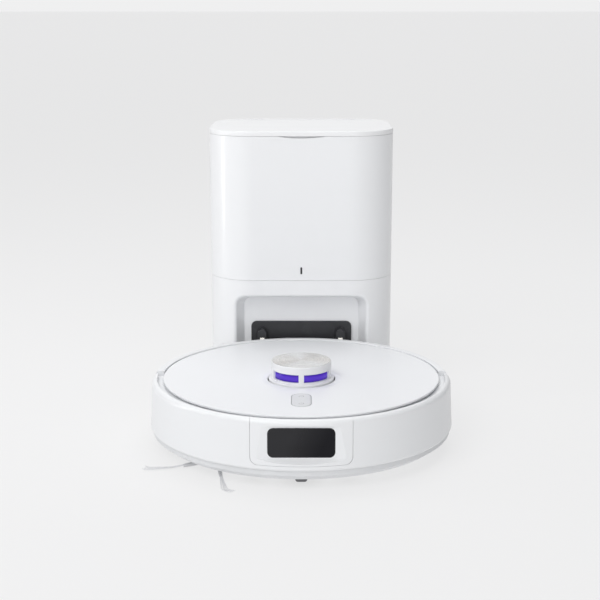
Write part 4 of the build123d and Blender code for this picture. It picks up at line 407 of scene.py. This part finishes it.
def circuit(name, colour):
    finish = Finish(name, ior=1.5, coat_weight=0.4, coat_roughness=0.15)
    tracks = finish.node("TexVoronoi", {"feature": "DISTANCE_TO_EDGE", "distance": "EUCLIDEAN"},
                         {"Vector": finish.point, "Scale": TRACKS_PER_METRE})
    track = 1.0 - tracks.above(0.05)
    finish.set("Base Color", finish.blend(track * 0.6, colour, shade(colour, 1.9)))
    finish.set("Roughness", track * 0.1 + 0.32)
    return finish.relief(track, 3e-5)


tread_rubber = rubber("tread_rubber", (0.022, 0.022, 0.024), 0.5)
soft_rubber = rubber("soft_rubber", (0.03, 0.03, 0.033), 0.3)
seal_rubber = rubber("seal_rubber", (0.045, 0.045, 0.05), 0.2, 0.6)
SHEEN_OFFSET = 6 * MM
window_middle = middle("sensor_window")
window_black = black_acrylic("window_black", (0.006, 0.006, 0.008),
                             (window_middle.x + SHEEN_OFFSET, window_middle.z))
sensor_black = black_acrylic("sensor_black", (0.012, 0.008, 0.012))
lens_dark = black_acrylic("lens_dark", (0.010, 0.010, 0.02))
sill_low, sill_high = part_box("lidar_turret")
SILL_H, BROW_H = 7.2 * MM, 8.6 * MM
WINDOW_LOW = sill_low.z + SILL_H
WINDOW_HIGH = sill_high.z - BROW_H
scanner_violet = painted_glow_violet("scanner_violet", WINDOW_LOW, WINDOW_HIGH)
bag_fibre = pressed_fibre("bag_fibre", (0.78, 0.765, 0.72))
filter_fibre = pressed_fibre("filter_fibre", (0.84, 0.84, 0.80), 0.25)
card_brown = pressed_fibre("card_brown", (0.56, 0.45, 0.31), 0.5)
board_green = circuit("board_green", (0.012, 0.085, 0.042))
battery_blue = grained("battery_blue", (0.035, 0.085, 0.22), 0.35, depth=2e-5)
bin_smoke = polished("bin_smoke", (0.07, 0.072, 0.08), 0.22, coat=0.3)
hair_grey = polished("hair_grey", (0.70, 0.705, 0.72), 0.42, coat=0.0)
sleeve_grey = rubber("sleeve_grey", (0.55, 0.555, 0.57), 0.1, 0.55)
print("soft and clear finishes:", 15)

# %% [markdown]
# ## Dressing the CAD nodes
# A node whose shape is right only needs a new coat. Each is matched with its finish in one table, and a
# check makes sure that none is forgotten.

# %% Finishes for the nodes
COATS = {
    cover_white: ["top_cover"],
    bumper_white: ["bumper_shell", "bumper_panel"],
    body_white: ["body_shell"],
    dock_white: ["dock_lower_shell", "dock_upper_shell"],
    lid_white: ["dock_lid"],
    turret_white: ["lidar_turret"],
    button_white: ["home_button", "power_button"],
    chassis_grey: ["chassis_base", "brush_guard"],
    dock_foot_grey: ["dock_base"],
    graphite: ["contact_plate", "caster_fork", "wheel_arm_left", "wheel_arm_right", "lidar_base",
               "brush_gearbox", "outlet_flap", "power_inlet", "status_light"],
    wheel_grey: ["wheel_hub_left", "wheel_hub_right", "caster_wheel"],
    inner_grey: ["suction_fan", "suction_impeller", "dock_fan", "dock_impeller", "suction_duct",
                 "lidar_pulley"],
    cap_metal: ["lidar_cap"],
    nickel: ["charge_contact_left", "charge_contact_right", "charge_strips"],
    steel: ["caster_axle", "wheel_springs", "bumper_springs", "chassis_screws", "dock_screws"],
    motor_steel: ["lidar_motor", "side_brush_motor"],
    tread_rubber: ["tyre_left", "tyre_right"],
    soft_rubber: ["dock_feet", "lidar_belt", "main_brush"],
    seal_rubber: ["inlet_seal"],
    window_black: ["sensor_window"],
    sensor_black: ["cliff_sensors"],
    lens_dark: ["front_camera"],
    scanner_violet: ["lidar_head"],
    filter_fibre: ["dust_filter"],
    bag_fibre: ["dust_bag"],
    board_green: ["main_board", "dock_board"],
    battery_blue: ["battery_pack"],
    bin_smoke: ["dustbin"],
    sleeve_grey: ["side_brush_hub", "side_brush_bristles"],
}
dressed = set()
for finish, names in COATS.items():
    for name in names:
        nodes[name].data.materials.clear()
        nodes[name].data.materials.append(finish.material)
        dressed.add(name)
print("dressed", len(dressed), "left bare:", sorted(set(nodes) - dressed))

# %% [markdown]
# ## Smooth curves without round edges
# CAD meshes arrive as flat facets. Shading them smooth rounds the light over the facets, but it also smears
# it over real edges, so only edges that bend less than a limit are smoothed.

# %% Smooth shading
SMOOTH_LIMIT = math.radians(24)
for name, node in nodes.items():
    node.data.shade_smooth()
    node.data.set_sharp_from_angle(angle=SMOOTH_LIMIT)
print("smoothed", len(nodes), "nodes")

# %% [markdown]
# ## Making pieces
# Every added piece is a mesh or a curve. Three helpers cover them all. `lathe` turns an outline of radius
# and height round an upright axis. `loft` joins closed rings of points into a skin, which suits anything
# that changes along its length. `wire` draws a round line through points and is how seams, gaskets, hairs
# and printed symbols are made, since a printed line seen close is a very flat wire.

# %% Lathe, loft and wire
def to_body(piece, finish, body, smooth=True):
    """Gives a piece its finish and its body, and shades a mesh smooth."""
    piece.data.materials.append(finish.material)
    if smooth and piece.type == "MESH":
        piece.data.shade_smooth()
    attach(piece, body)
    return piece


def mesh_piece(name, points, faces):
    mesh = bpy.data.meshes.new(name)
    mesh.from_pydata(points, [], faces)
    mesh.validate()
    piece = bpy.data.objects.new(name, mesh)
    scene.collection.objects.link(piece)
    return piece


def loft(name, rings, closed=False):
    """Skins a row of rings with the same number of points; the ends are capped unless it closes."""
    count = len(rings[0])
    points = [p for ring in rings for p in ring]
    faces = []
    for i in range(len(rings) if closed else len(rings) - 1):
        a, b = i * count, (i + 1) % len(rings) * count
        for j in range(count):
            k = (j + 1) % count
            faces.append((a + j, a + k, b + k, b + j))
    if not closed:
        faces.append(tuple(reversed(range(count))))
        faces.append(tuple(range(len(points) - count, len(points))))
    return mesh_piece(name, points, faces)


def lathe(name, outline, centre, steps=128):
    """Turns a closed outline of (radius, height) about the upright through centre."""
    rings = []
    for i in range(steps):
        angle = math.tau * i / steps
        rings.append([(centre.x + r * math.cos(angle), centre.y + r * math.sin(angle), z) for r, z in outline])
    return loft(name, rings, closed=True)


def wire(name, lines, thickness, closed=False, resolution=3):
    """Round lines through rows of points; a row may carry its own radii as a fourth number."""
    curve = bpy.data.curves.new(name, "CURVE")
    curve.dimensions = "3D"
    curve.bevel_depth = thickness / 2
    curve.bevel_resolution = resolution
    curve.use_fill_caps = True
    for line in lines:
        spline = curve.splines.new("POLY")
        spline.points.add(len(line) - 1)
        for point, place in zip(spline.points, line):
            point.co = (*place[:3], 1.0)
            point.radius = place[3] if len(place) > 3 else 1.0
        spline.use_cyclic_u = closed
    piece = bpy.data.objects.new(name, curve)
    scene.collection.objects.link(piece)
    return piece


def rounded_outline(width, height, corner, steps=10):
    """The points of a rounded rectangle about its middle."""
    points = []
    for cx, cy, start in ((1, 1, 0), (-1, 1, 90), (-1, -1, 180), (1, -1, 270)):
        for i in range(steps + 1):
            angle = math.radians(start + 90 * i / steps)
            points.append((cx * (width / 2 - corner) + corner * math.cos(angle),
                           cy * (height / 2 - corner) + corner * math.sin(angle)))
    return points


print("helpers ready")

# %% [markdown]
# ## The scanner's window
# Behind the turret's slots sits one clear violet tube that keeps dust off the spinning scanner. It is a thin
# lathe-turned sleeve, a little inside the pillars, so that the slots keep their depth and a shadow line.

# %% The violet sleeve
cap_low, cap_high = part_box("lidar_cap")
CAGE_WALL = 1.5 * MM
CAGE_INNER = (cap_high.x - cap_low.x) / 2 - CAGE_WALL
SLEEVE_WALL = 0.9 * MM
SLEEVE_LAP = 1.2 * MM
sleeve_low, sleeve_high = WINDOW_LOW - SLEEVE_LAP, WINDOW_HIGH + SLEEVE_LAP
sleeve_outline = [(CAGE_INNER, sleeve_low), (CAGE_INNER, sleeve_high),
                  (CAGE_INNER - SLEEVE_WALL, sleeve_high), (CAGE_INNER - SLEEVE_WALL, sleeve_low)]
violet_sleeve = lathe("scanner_window", sleeve_outline, scanner_axis, 144)
to_body(violet_sleeve, scanner_violet, "robot")
print("sleeve radius mm", round(CAGE_INNER / MM, 1))

# %% [markdown]
# ## Printed symbols
# The two buttons carry a house, which sends the robot home, and a power mark. Both are pad printed in grey,
# hardly thicker than paint, so each is a wire that lies nearly sunk in the button's face and moves with it.
# A fine grey line round the pill is the edge of its sealing lip.

# %% Button symbols
INK = polished("grey_ink", (0.13, 0.132, 0.14), 0.5, coat=0.0)
INK_WIDTH = 0.75 * MM
INK_PROUD = 0.06 * MM
FACE_INSET = 11.2 * MM


def on_button(node, outline):
    """Places flat (x, y) points on the top face of a button."""
    low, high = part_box(node)
    face_y = {"home_button": high.y - FACE_INSET, "power_button": low.y + FACE_INSET}[node]
    return [(x, face_y + y, high.z - INK_WIDTH / 2 + INK_PROUD) for x, y in outline]


ROOF, EAVE, FLOOR_LINE, HALF = 2.7 * MM, 0.4 * MM, -2.3 * MM, 2.5 * MM
house = [(-HALF - 0.5 * MM, EAVE - 0.3 * MM), (0, ROOF), (HALF + 0.5 * MM, EAVE - 0.3 * MM)]
walls = [(-HALF, EAVE), (-HALF, FLOOR_LINE), (HALF, FLOOR_LINE), (HALF, EAVE)]
home_mark = wire("home_mark", [on_button("home_button", house), on_button("home_button", walls)], INK_WIDTH)
to_body(home_mark, INK, "home_button")
GAP = math.radians(34)
POWER_R = 2.6 * MM
arc = [(POWER_R * math.sin(a), POWER_R * math.cos(a))
       for a in [GAP + (math.tau - 2 * GAP) * i / 40 for i in range(41)]]
bar = [(0, 0.2 * MM), (0, 3.2 * MM)]
power_mark = wire("power_mark", [on_button("power_button", arc), on_button("power_button", bar)], INK_WIDTH)
to_body(power_mark, INK, "power_button")

home_low, home_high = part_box("home_button")
_, power_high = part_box("power_button")
_, cover_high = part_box("top_cover")
PILL_W, PILL_L = 21.9 * MM, 47.9 * MM
RIM_WIDTH, RIM_SINK = 0.55 * MM, 0.12 * MM
pill_middle = (home_low.y + power_high.y) / 2
rim = [(x, pill_middle + y, cover_high.z - RIM_SINK)
       for x, y in rounded_outline(PILL_W, PILL_L, PILL_W / 2 - 0.01 * MM, 24)]
pill_rim = wire("button_rim", [rim], RIM_WIDTH, closed=True)
to_body(pill_rim, polished("rim_grey", (0.24, 0.243, 0.25), 0.3), "cover")
print("button face height mm", round(home_high.z / MM, 2))

# %% [markdown]
# ## The window's gasket
# The black window is held by a thin dark gasket that fills the gap to the white panel. It is a wire along
# the pane's rounded outline.

# %% Window gasket
pane_low, pane_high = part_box("sensor_window")
pane = (pane_low + pane_high) / 2
PANE_CORNER = 6.0 * MM
GASKET_WIDTH, GASKET_GAP, GASKET_SINK = 0.7 * MM, 0.3 * MM, 0.45 * MM
gasket = [(pane.x + x, pane_low.y + GASKET_SINK, pane.z + z)
          for x, z in rounded_outline(pane_high.x - pane_low.x + GASKET_GAP,
                                      pane_high.z - pane_low.z + GASKET_GAP, PANE_CORNER)]
window_gasket = wire("window_gasket", [gasket], GASKET_WIDTH, closed=True)
to_body(window_gasket, seal_rubber, "bumper")
print("gasket points", len(gasket))

# %% [markdown]
# ## The bumper's springs
# Two small coils push the bumper out. On the real robot each gets shorter when the bumper is pressed in; these
# keep one length.

# %% The bumper's springs
springs_low, springs_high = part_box("bumper_springs")
COIL_WIRE, COIL_TURNS, COIL_TRAVEL = 0.45 * MM, 4, 4.0 * MM
coil_r = (springs_high.z - springs_low.z) / 2 - COIL_WIRE
coil_z = (springs_high.z + springs_low.z) / 2
coil_length = springs_high.y - springs_low.y


def coil_rings(centre_x, steps=160, sides=10):
    rings = []
    for i in range(steps + 1):
        turn = math.tau * COIL_TURNS * i / steps
        outward = Vector((math.cos(turn), 0, math.sin(turn)))
        middle_y = springs_high.y - COIL_WIRE - (coil_length - 2 * COIL_WIRE) * i / steps
        middle_point = Vector((centre_x, middle_y, coil_z)) + outward * coil_r
        rings.append([tuple(middle_point + COIL_WIRE * (outward * math.cos(a) + Vector((0, math.sin(a), 0))))
                      for a in (math.tau * j / sides for j in range(sides))])
    return rings


for side in (-1, 1):
    coil = loft("bumper_coil_" + ("left" if side < 0 else "right"),
                coil_rings(side * (springs_high.x - coil_r - COIL_WIRE)))
    to_body(coil, steel, "robot")
    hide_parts("bumper_springs")
    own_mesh(coil)
print("coil length mm", round(coil_length / MM, 1))

# %% [markdown]
# ## The side brush
# Each arm is a rubber sleeve with a bundle of nylon hairs in its end. The bundle leaves the sleeve tight,
# droops to the floor, fans out a little along it and curls at the tip, since hairs keep the bend they were
# packed in. The arm that points at the drive wheel curls away from it. A hair is a thin line that narrows
# to its tip. Seeded random numbers give each its own fan, length and curl, and they are the same on every
# run.

# %% Side brush sleeves and hairs
random.seed(7)
ARM_RISE = 2.5 * MM
hub = middle("side_brush_hub")
hub.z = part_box("side_brush_hub")[0].z + ARM_RISE
arms_low, arms_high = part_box("side_brush_bristles")
ARMS = 4
HAIRS = 24
SLEEVE_ROOT, SLEEVE_END = 8.2 * MM, 38.0 * MM
SLEEVE_R = 2.35 * MM
SLEEVE_DROP = 3.0 * MM
HAIR_T = 0.42 * MM
CURLS = (-1, -1, -1, 1)
FIRST_ARM = math.radians(8.6)
PAST_TUFT = 3.0 * MM
HAIR_REACH = max(arms_high.x - hub.x, hub.x - arms_low.x) / math.cos(FIRST_ARM) + PAST_TUFT
HAIR_GRIP = 5 * MM
LANDS_AT, CURLS_AT = 0.42, 0.74
HAIR_STEPS, SLEEVE_STEPS = 28, 8


def at_arm(angle, along, across, height):
    """A point beside an arm that leaves the hub at an angle."""
    return (hub.x + along * math.cos(angle) - across * math.sin(angle),
            hub.y + along * math.sin(angle) + across * math.cos(angle), height)


def hair(angle, spread, length, curl):
    """One hair, from inside the sleeve to its curled tip."""
    points = []
    for i in range(HAIR_STEPS + 1):
        t = i / HAIR_STEPS
        along = SLEEVE_END - HAIR_GRIP + (length - SLEEVE_END + HAIR_GRIP) * t
        droop = min(1.0, t / LANDS_AT)
        height = (hub.z - SLEEVE_DROP) * (1 - droop) ** 1.4 + (0.8 + 0.8 * abs(spread)) * MM
        across = spread * 1.5 * MM + spread * 4.2 * MM * t ** 1.6
        tip = max(0.0, (t - CURLS_AT) / (1 - CURLS_AT))
        bend = curl * 7.5 * MM * tip ** 2
        points.append((*at_arm(angle, along - 4.2 * MM * tip ** 2, across + bend, height), 1.0 - 0.45 * t))
    return points


sleeves, hairs = [], []
for arm in range(ARMS):
    angle = FIRST_ARM + math.tau * arm / ARMS
    row = []
    for i in range(SLEEVE_STEPS + 1):
        t = i / SLEEVE_STEPS
        along = SLEEVE_ROOT + (SLEEVE_END - SLEEVE_ROOT) * t
        sag = SLEEVE_DROP * max(0.0, (t - 0.2) / 0.8)
        end_step = 0.1 if i == SLEEVE_STEPS else 0.0
        row.append((*at_arm(angle, along, 0.0, hub.z - sag), 1.0 - 0.12 * t - end_step))
    sleeves.append(row)
    for i in range(HAIRS):
        spread = random.uniform(-1.0, 1.0)
        length = HAIR_REACH * random.uniform(0.93, 1.0)
        hairs.append(hair(angle, spread, length, CURLS[arm] * random.uniform(0.5, 1.0)))
brush_sleeves = wire("brush_sleeves", sleeves, 2 * SLEEVE_R, resolution=6)
to_body(brush_sleeves, sleeve_grey, "side_brush")
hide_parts("side_brush_bristles")
brush_hairs = wire("brush_hairs", hairs, HAIR_T, resolution=1)
to_body(brush_hairs, hair_grey, "side_brush")
print("hairs:", len(hairs), "reach mm", round(HAIR_REACH / MM, 1))

# %% [markdown]
# ## The main brush
# The roller is a rubber skin with six fins that run in a V, so that hair is swept to the middle and the fins
# meet the floor one point at a time. It is one loft: the cross-section is a star, it turns a little at
# each step along the axis, and at both ends it shrinks to the round journal.

# %% The main brush
roller_low, roller_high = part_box("main_brush")
roller = (roller_low + roller_high) / 2
FIN_MARGIN, FIN_RIPPLE = 0.3 * MM, 0.5 * MM
FIN_R = (roller_high.y - roller_low.y) / 2 - FIN_MARGIN
CORE_R = 9.0 * MM
FINS = 6
FIN_TWIST = math.radians(46)
BRUSH_END = 73.5 * MM
JOURNAL_R = 3.45 * MM
# share of a fin's pitch, and how far out the skin is there
FIN_SHAPE = [(0.0, 1.0), (0.05, 1.0), (0.10, 0.55), (0.16, 0.08), (0.28, 0.0), (0.5, 0.03), (0.72, 0.0),
             (0.84, 0.08), (0.90, 0.55), (0.95, 1.0)]


def star(x, turn, ripple):
    ring = []
    for fin in range(FINS):
        for share, out in FIN_SHAPE:
            angle = turn + math.tau * (fin + share) / FINS
            r = CORE_R + (FIN_R - ripple - CORE_R) * out
            ring.append((x, roller.y + r * math.sin(angle), roller.z + r * math.cos(angle)))
    return ring


def plain_ring(x, r):
    """A circle with as many points as the star, at the turn the fins have at the ends."""
    ring = []
    for fin in range(FINS):
        for share, _ in FIN_SHAPE:
            angle = FIN_TWIST + math.tau * (fin + share) / FINS
            ring.append((x, roller.y + r * math.sin(angle), roller.z + r * math.cos(angle)))
    return ring


rings = [plain_ring(roller_low.x, JOURNAL_R), plain_ring(-BRUSH_END, JOURNAL_R),
         plain_ring(-BRUSH_END, CORE_R)]
STEPS = 72
for i in range(STEPS + 1):
    x = -BRUSH_END + 2 * BRUSH_END * i / STEPS
    ripple = FIN_RIPPLE * abs(math.sin(i * 1.1))
    rings.append(star(x, FIN_TWIST * abs(x) / BRUSH_END, ripple))
rings += [plain_ring(BRUSH_END, CORE_R), plain_ring(BRUSH_END, JOURNAL_R),
          plain_ring(roller_high.x, JOURNAL_R)]
rubber_roller = loft("rubber_roller", rings)
rubber_roller.data.materials.append(soft_rubber.material)
rubber_roller.data.shade_smooth()
rubber_roller.data.set_sharp_from_angle(angle=math.radians(35))
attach(rubber_roller, "main_brush")
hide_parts("main_brush")
print("roller faces:", len(rubber_roller.data.polygons))

# %% [markdown]
# ## The dust bag
# The bag is two sheets of pressed fibre, welded round the edge and glued to a card collar, and it fills with
# dust until it bulges. It starts as a box with rounded sides, a little smaller than its chamber. Cloth
# under pressure swells it, with each point held to a few millimetres of travel so that it can't reach the
# chamber's wall. Creases that run in from the corners are added after, because a swollen sheet keeps them.

# %% The dust bag
bag_low, bag_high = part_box("dust_bag")
duct_mouth = middle("suction_duct")
COLLAR_T = 2.5 * MM
COLLAR_W, COLLAR_D = 96 * MM, 62 * MM
BAG_SHRINK = 7.0 * MM
BAG_FLOOR = bag_low.z + 6.0 * MM
BAG_CAP = 6.0 * MM
BAG_LAYERS = 12
BAG_CORNER, BAG_SHOULDER = 40 * MM, 24 * MM
BAG_VOXEL = 5 * MM
BAG_PRESSURE, SWELL_FRAMES = 4.0, 15
FOLD_DEPTH = 0.9 * MM


def bag_ring(inset, z, steps=14):
    half_w = (bag_high.x - bag_low.x) / 2 - BAG_SHRINK - inset
    half_d = (bag_high.y - bag_low.y) / 2 - BAG_SHRINK - inset
    corner = max(6 * MM, BAG_CORNER - inset)
    return [(x, y, z) for x, y in rounded_outline(2 * half_w, 2 * half_d, corner, steps)]


bag_top = bag_high.z - BAG_SHRINK
layers = []
for i in range(BAG_LAYERS + 1):
    t = i / BAG_LAYERS
    edge = BAG_SHOULDER * (1 - math.sin(math.pi * min(1.0, max(0.0, t * 0.84 + 0.08))) ** 0.45)
    layers.append(bag_ring(edge, BAG_FLOOR + (bag_top - BAG_FLOOR) * t))
bag = loft("bag", layers)
bag.data.materials.append(bag_fibre.material)
remesh = bag.modifiers.new("even", "REMESH")
remesh.mode, remesh.voxel_size = "VOXEL", BAG_VOXEL
bpy.context.view_layer.update()
shaped = bpy.data.meshes.new_from_object(bag.evaluated_get(bpy.context.evaluated_depsgraph_get()))
bag.modifiers.clear()
bag.data = shaped
start = [v.co.copy() for v in bag.data.vertices]
cloth = bag.modifiers.new("swell", "CLOTH")
cloth.settings.use_pressure = True
cloth.settings.uniform_pressure_force = BAG_PRESSURE
cloth.settings.effector_weights.gravity = 0.0
cloth.settings.quality = 4
for frame_number in range(1, SWELL_FRAMES + 1):
    scene.frame_set(frame_number)
swollen = bpy.data.meshes.new_from_object(bag.evaluated_get(bpy.context.evaluated_depsgraph_get()))
bag.modifiers.clear()
bag.data = swollen
scene.frame_set(1)
centre = Vector((0, 0, (BAG_FLOOR + bag_top) / 2))
for vertex, first in zip(bag.data.vertices, start):
    move = vertex.co - first
    if move.length > BAG_CAP:
        move *= BAG_CAP / move.length
    place = first + move
    out = (place - centre).normalized()
    angle = math.atan2(place.y, place.x)
    fold = math.sin(angle * 9 + place.z * 60) * math.sin(place.z * 95 + 1.3 * math.cos(angle * 4))
    vertex.co = place - out * FOLD_DEPTH * (1 + fold)
bag.data.materials.clear()
bag.data.materials.append(bag_fibre.material)
smooth = bag.modifiers.new("round", "SUBSURF")
smooth.levels = smooth.render_levels = 1
bag.data.shade_smooth()
bpy.context.view_layer.update()


def on_bag(angle, height):
    """Where a level line from the bag's axis leaves its skin."""
    along = Vector((math.cos(angle), math.sin(angle), 0))
    found, place, _, _ = bag.ray_cast(Vector((0, 0, height)), along)
    return place if found else along * (bag_high.y - BAG_SHRINK)


HEM_RISE, HEM_WAVE, HEM_WIDTH = 26 * MM, 1.2 * MM, 1.8 * MM
HEM_POINTS = 120
hem = [on_bag(math.tau * i / HEM_POINTS, centre.z + HEM_RISE + HEM_WAVE * math.sin(i * 0.37))
       for i in range(HEM_POINTS)]
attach(bag, "dock")
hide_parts("dust_bag")

bag_weld = wire("bag_weld", [hem], HEM_WIDTH, closed=True)
to_body(bag_weld, bag_fibre, "dock")


def plate_with_hole(name, width, depth, corner, hole_w, hole_d, low, high, centre_y):
    """A card plate with a rectangular hole, as a closed loop of four edges."""
    outer = rounded_outline(width, depth, corner, 8)
    inner = rounded_outline(hole_w, hole_d, 3 * MM, 8)
    rings = [[(x, centre_y + y, z) for x, y in row]
             for row, z in ((outer, low), (outer, high), (inner, high), (inner, low))]
    return loft(name, rings, closed=True)


collar = plate_with_hole("bag_collar", COLLAR_W, COLLAR_D, 4 * MM, 58 * MM, 26 * MM, bag_low.z,
                         bag_low.z + COLLAR_T, duct_mouth.y)
to_body(collar, card_brown, "dock", smooth=False)
print("bag points:", len(bag.data.vertices))

# %% [markdown]
# ## Floor, room and light
# The floor is a sheet so wide that its edge is lost in the room, and it glows a little, as a light table
# does, which keeps the ground even and the shadows pale. The room is a gradient of direction rather than a
# picture: pale all round, brighter on the left and darker on the right, so that every glossy side has
# something to mirror. A big soft light from upper left models the round forms, a tall strip draws the
# upright highlight at the dock's left corner, and a weak box in front opens the shadows that face the viewer.

# %% Floor, room and lights
FLOOR_TONE = (0.2, 0.2, 0.201)
FLOOR_GLOW = 0.655
FLOOR_REACH = 160.0
floor_finish = Finish("studio_floor", ior=1.3, emission_strength=FLOOR_GLOW)
floor_finish.set("Base Color", floor_finish.blend(floor_finish.noise(2.0, 2.0, 0.5) * 0.3, FLOOR_TONE,
                                                  shade(FLOOR_TONE, 0.985)))
floor_finish.set("Emission Color", (1.0, 1.0, 1.003))
floor_finish.set("Roughness", floor_finish.noise(60.0, 2.0, 0.5) * 0.06 + 0.8)
corners = [(-1, -1), (1, -1), (1, 1), (-1, 1)]
floor = mesh_piece("studio_floor", [(x * FLOOR_REACH, y * FLOOR_REACH, 0) for x, y in corners], [(0, 1, 2, 3)])
floor.data.materials.append(floor_finish.material)

world = bpy.data.worlds.new("studio_room")
scene.world = world
world.use_nodes = True
room = world.node_tree
background = room.nodes["Background"]
direction = room.nodes.new("ShaderNodeTexCoord")
split = room.nodes.new("ShaderNodeSeparateXYZ")
room.links.new(direction.outputs["Generated"], split.inputs[0])
sides = room.nodes.new("ShaderNodeMapRange")
room.links.new(split.outputs[0], sides.inputs["Value"])
for key, value in (("From Min", -1.0), ("From Max", 1.0), ("To Min", 0.0), ("To Max", 1.0)):
    sides.inputs[key].default_value = value
tones = room.nodes.new("ShaderNodeValToRGB")
ROOM_TONES = [(0.0, (0.06, 0.062, 0.065)), (0.2, (0.36, 0.364, 0.37)), (0.37, (0.87, 0.87, 0.874)),
              (0.63, (0.862, 0.862, 0.866)), (0.74, (0.2, 0.204, 0.212)), (1.0, (0.01, 0.011, 0.013))]
while len(tones.color_ramp.elements) < len(ROOM_TONES):
    tones.color_ramp.elements.new(0.5)
for element, (place, colour) in zip(tones.color_ramp.elements, ROOM_TONES):
    element.position = place
    element.color = (*colour, 1.0)
room.links.new(sides.outputs[0], tones.inputs[0])
room.links.new(tones.outputs[0], background.inputs["Color"])


def area(name, place, target, width, height, power):
    """A soft box that looks at its target."""
    light = bpy.data.lights.new(name, "AREA")
    light.shape = "RECTANGLE"
    light.size, light.size_y = width, height
    light.energy = power
    lamp = bpy.data.objects.new(name, light)
    lamp.location = place
    lamp.rotation_euler = (Vector(target) - Vector(place)).to_track_quat("-Z", "Y").to_euler()
    scene.collection.objects.link(lamp)
    return lamp


SUBJECT = (0.0, robot_axis.y, 0.08)
area("key_box", (-0.9, robot_axis.y - 1.3, 1.7), SUBJECT, 1.3, 1.1, 14.0)
area("top_box", (0.1, robot_axis.y + 0.5, 2.1), SUBJECT, 1.8, 1.2, 11.0)
area("left_strip", (-1.3, robot_axis.y + 0.1, 0.45), (0.0, 0.0, 0.2), 0.22, 1.3, 4.0)
area("front_box", (0.3, robot_axis.y - 2.4, 0.9), (0.0, 0.0, 0.2), 1.2, 1.0, 7.0)
print("lights:", 4)
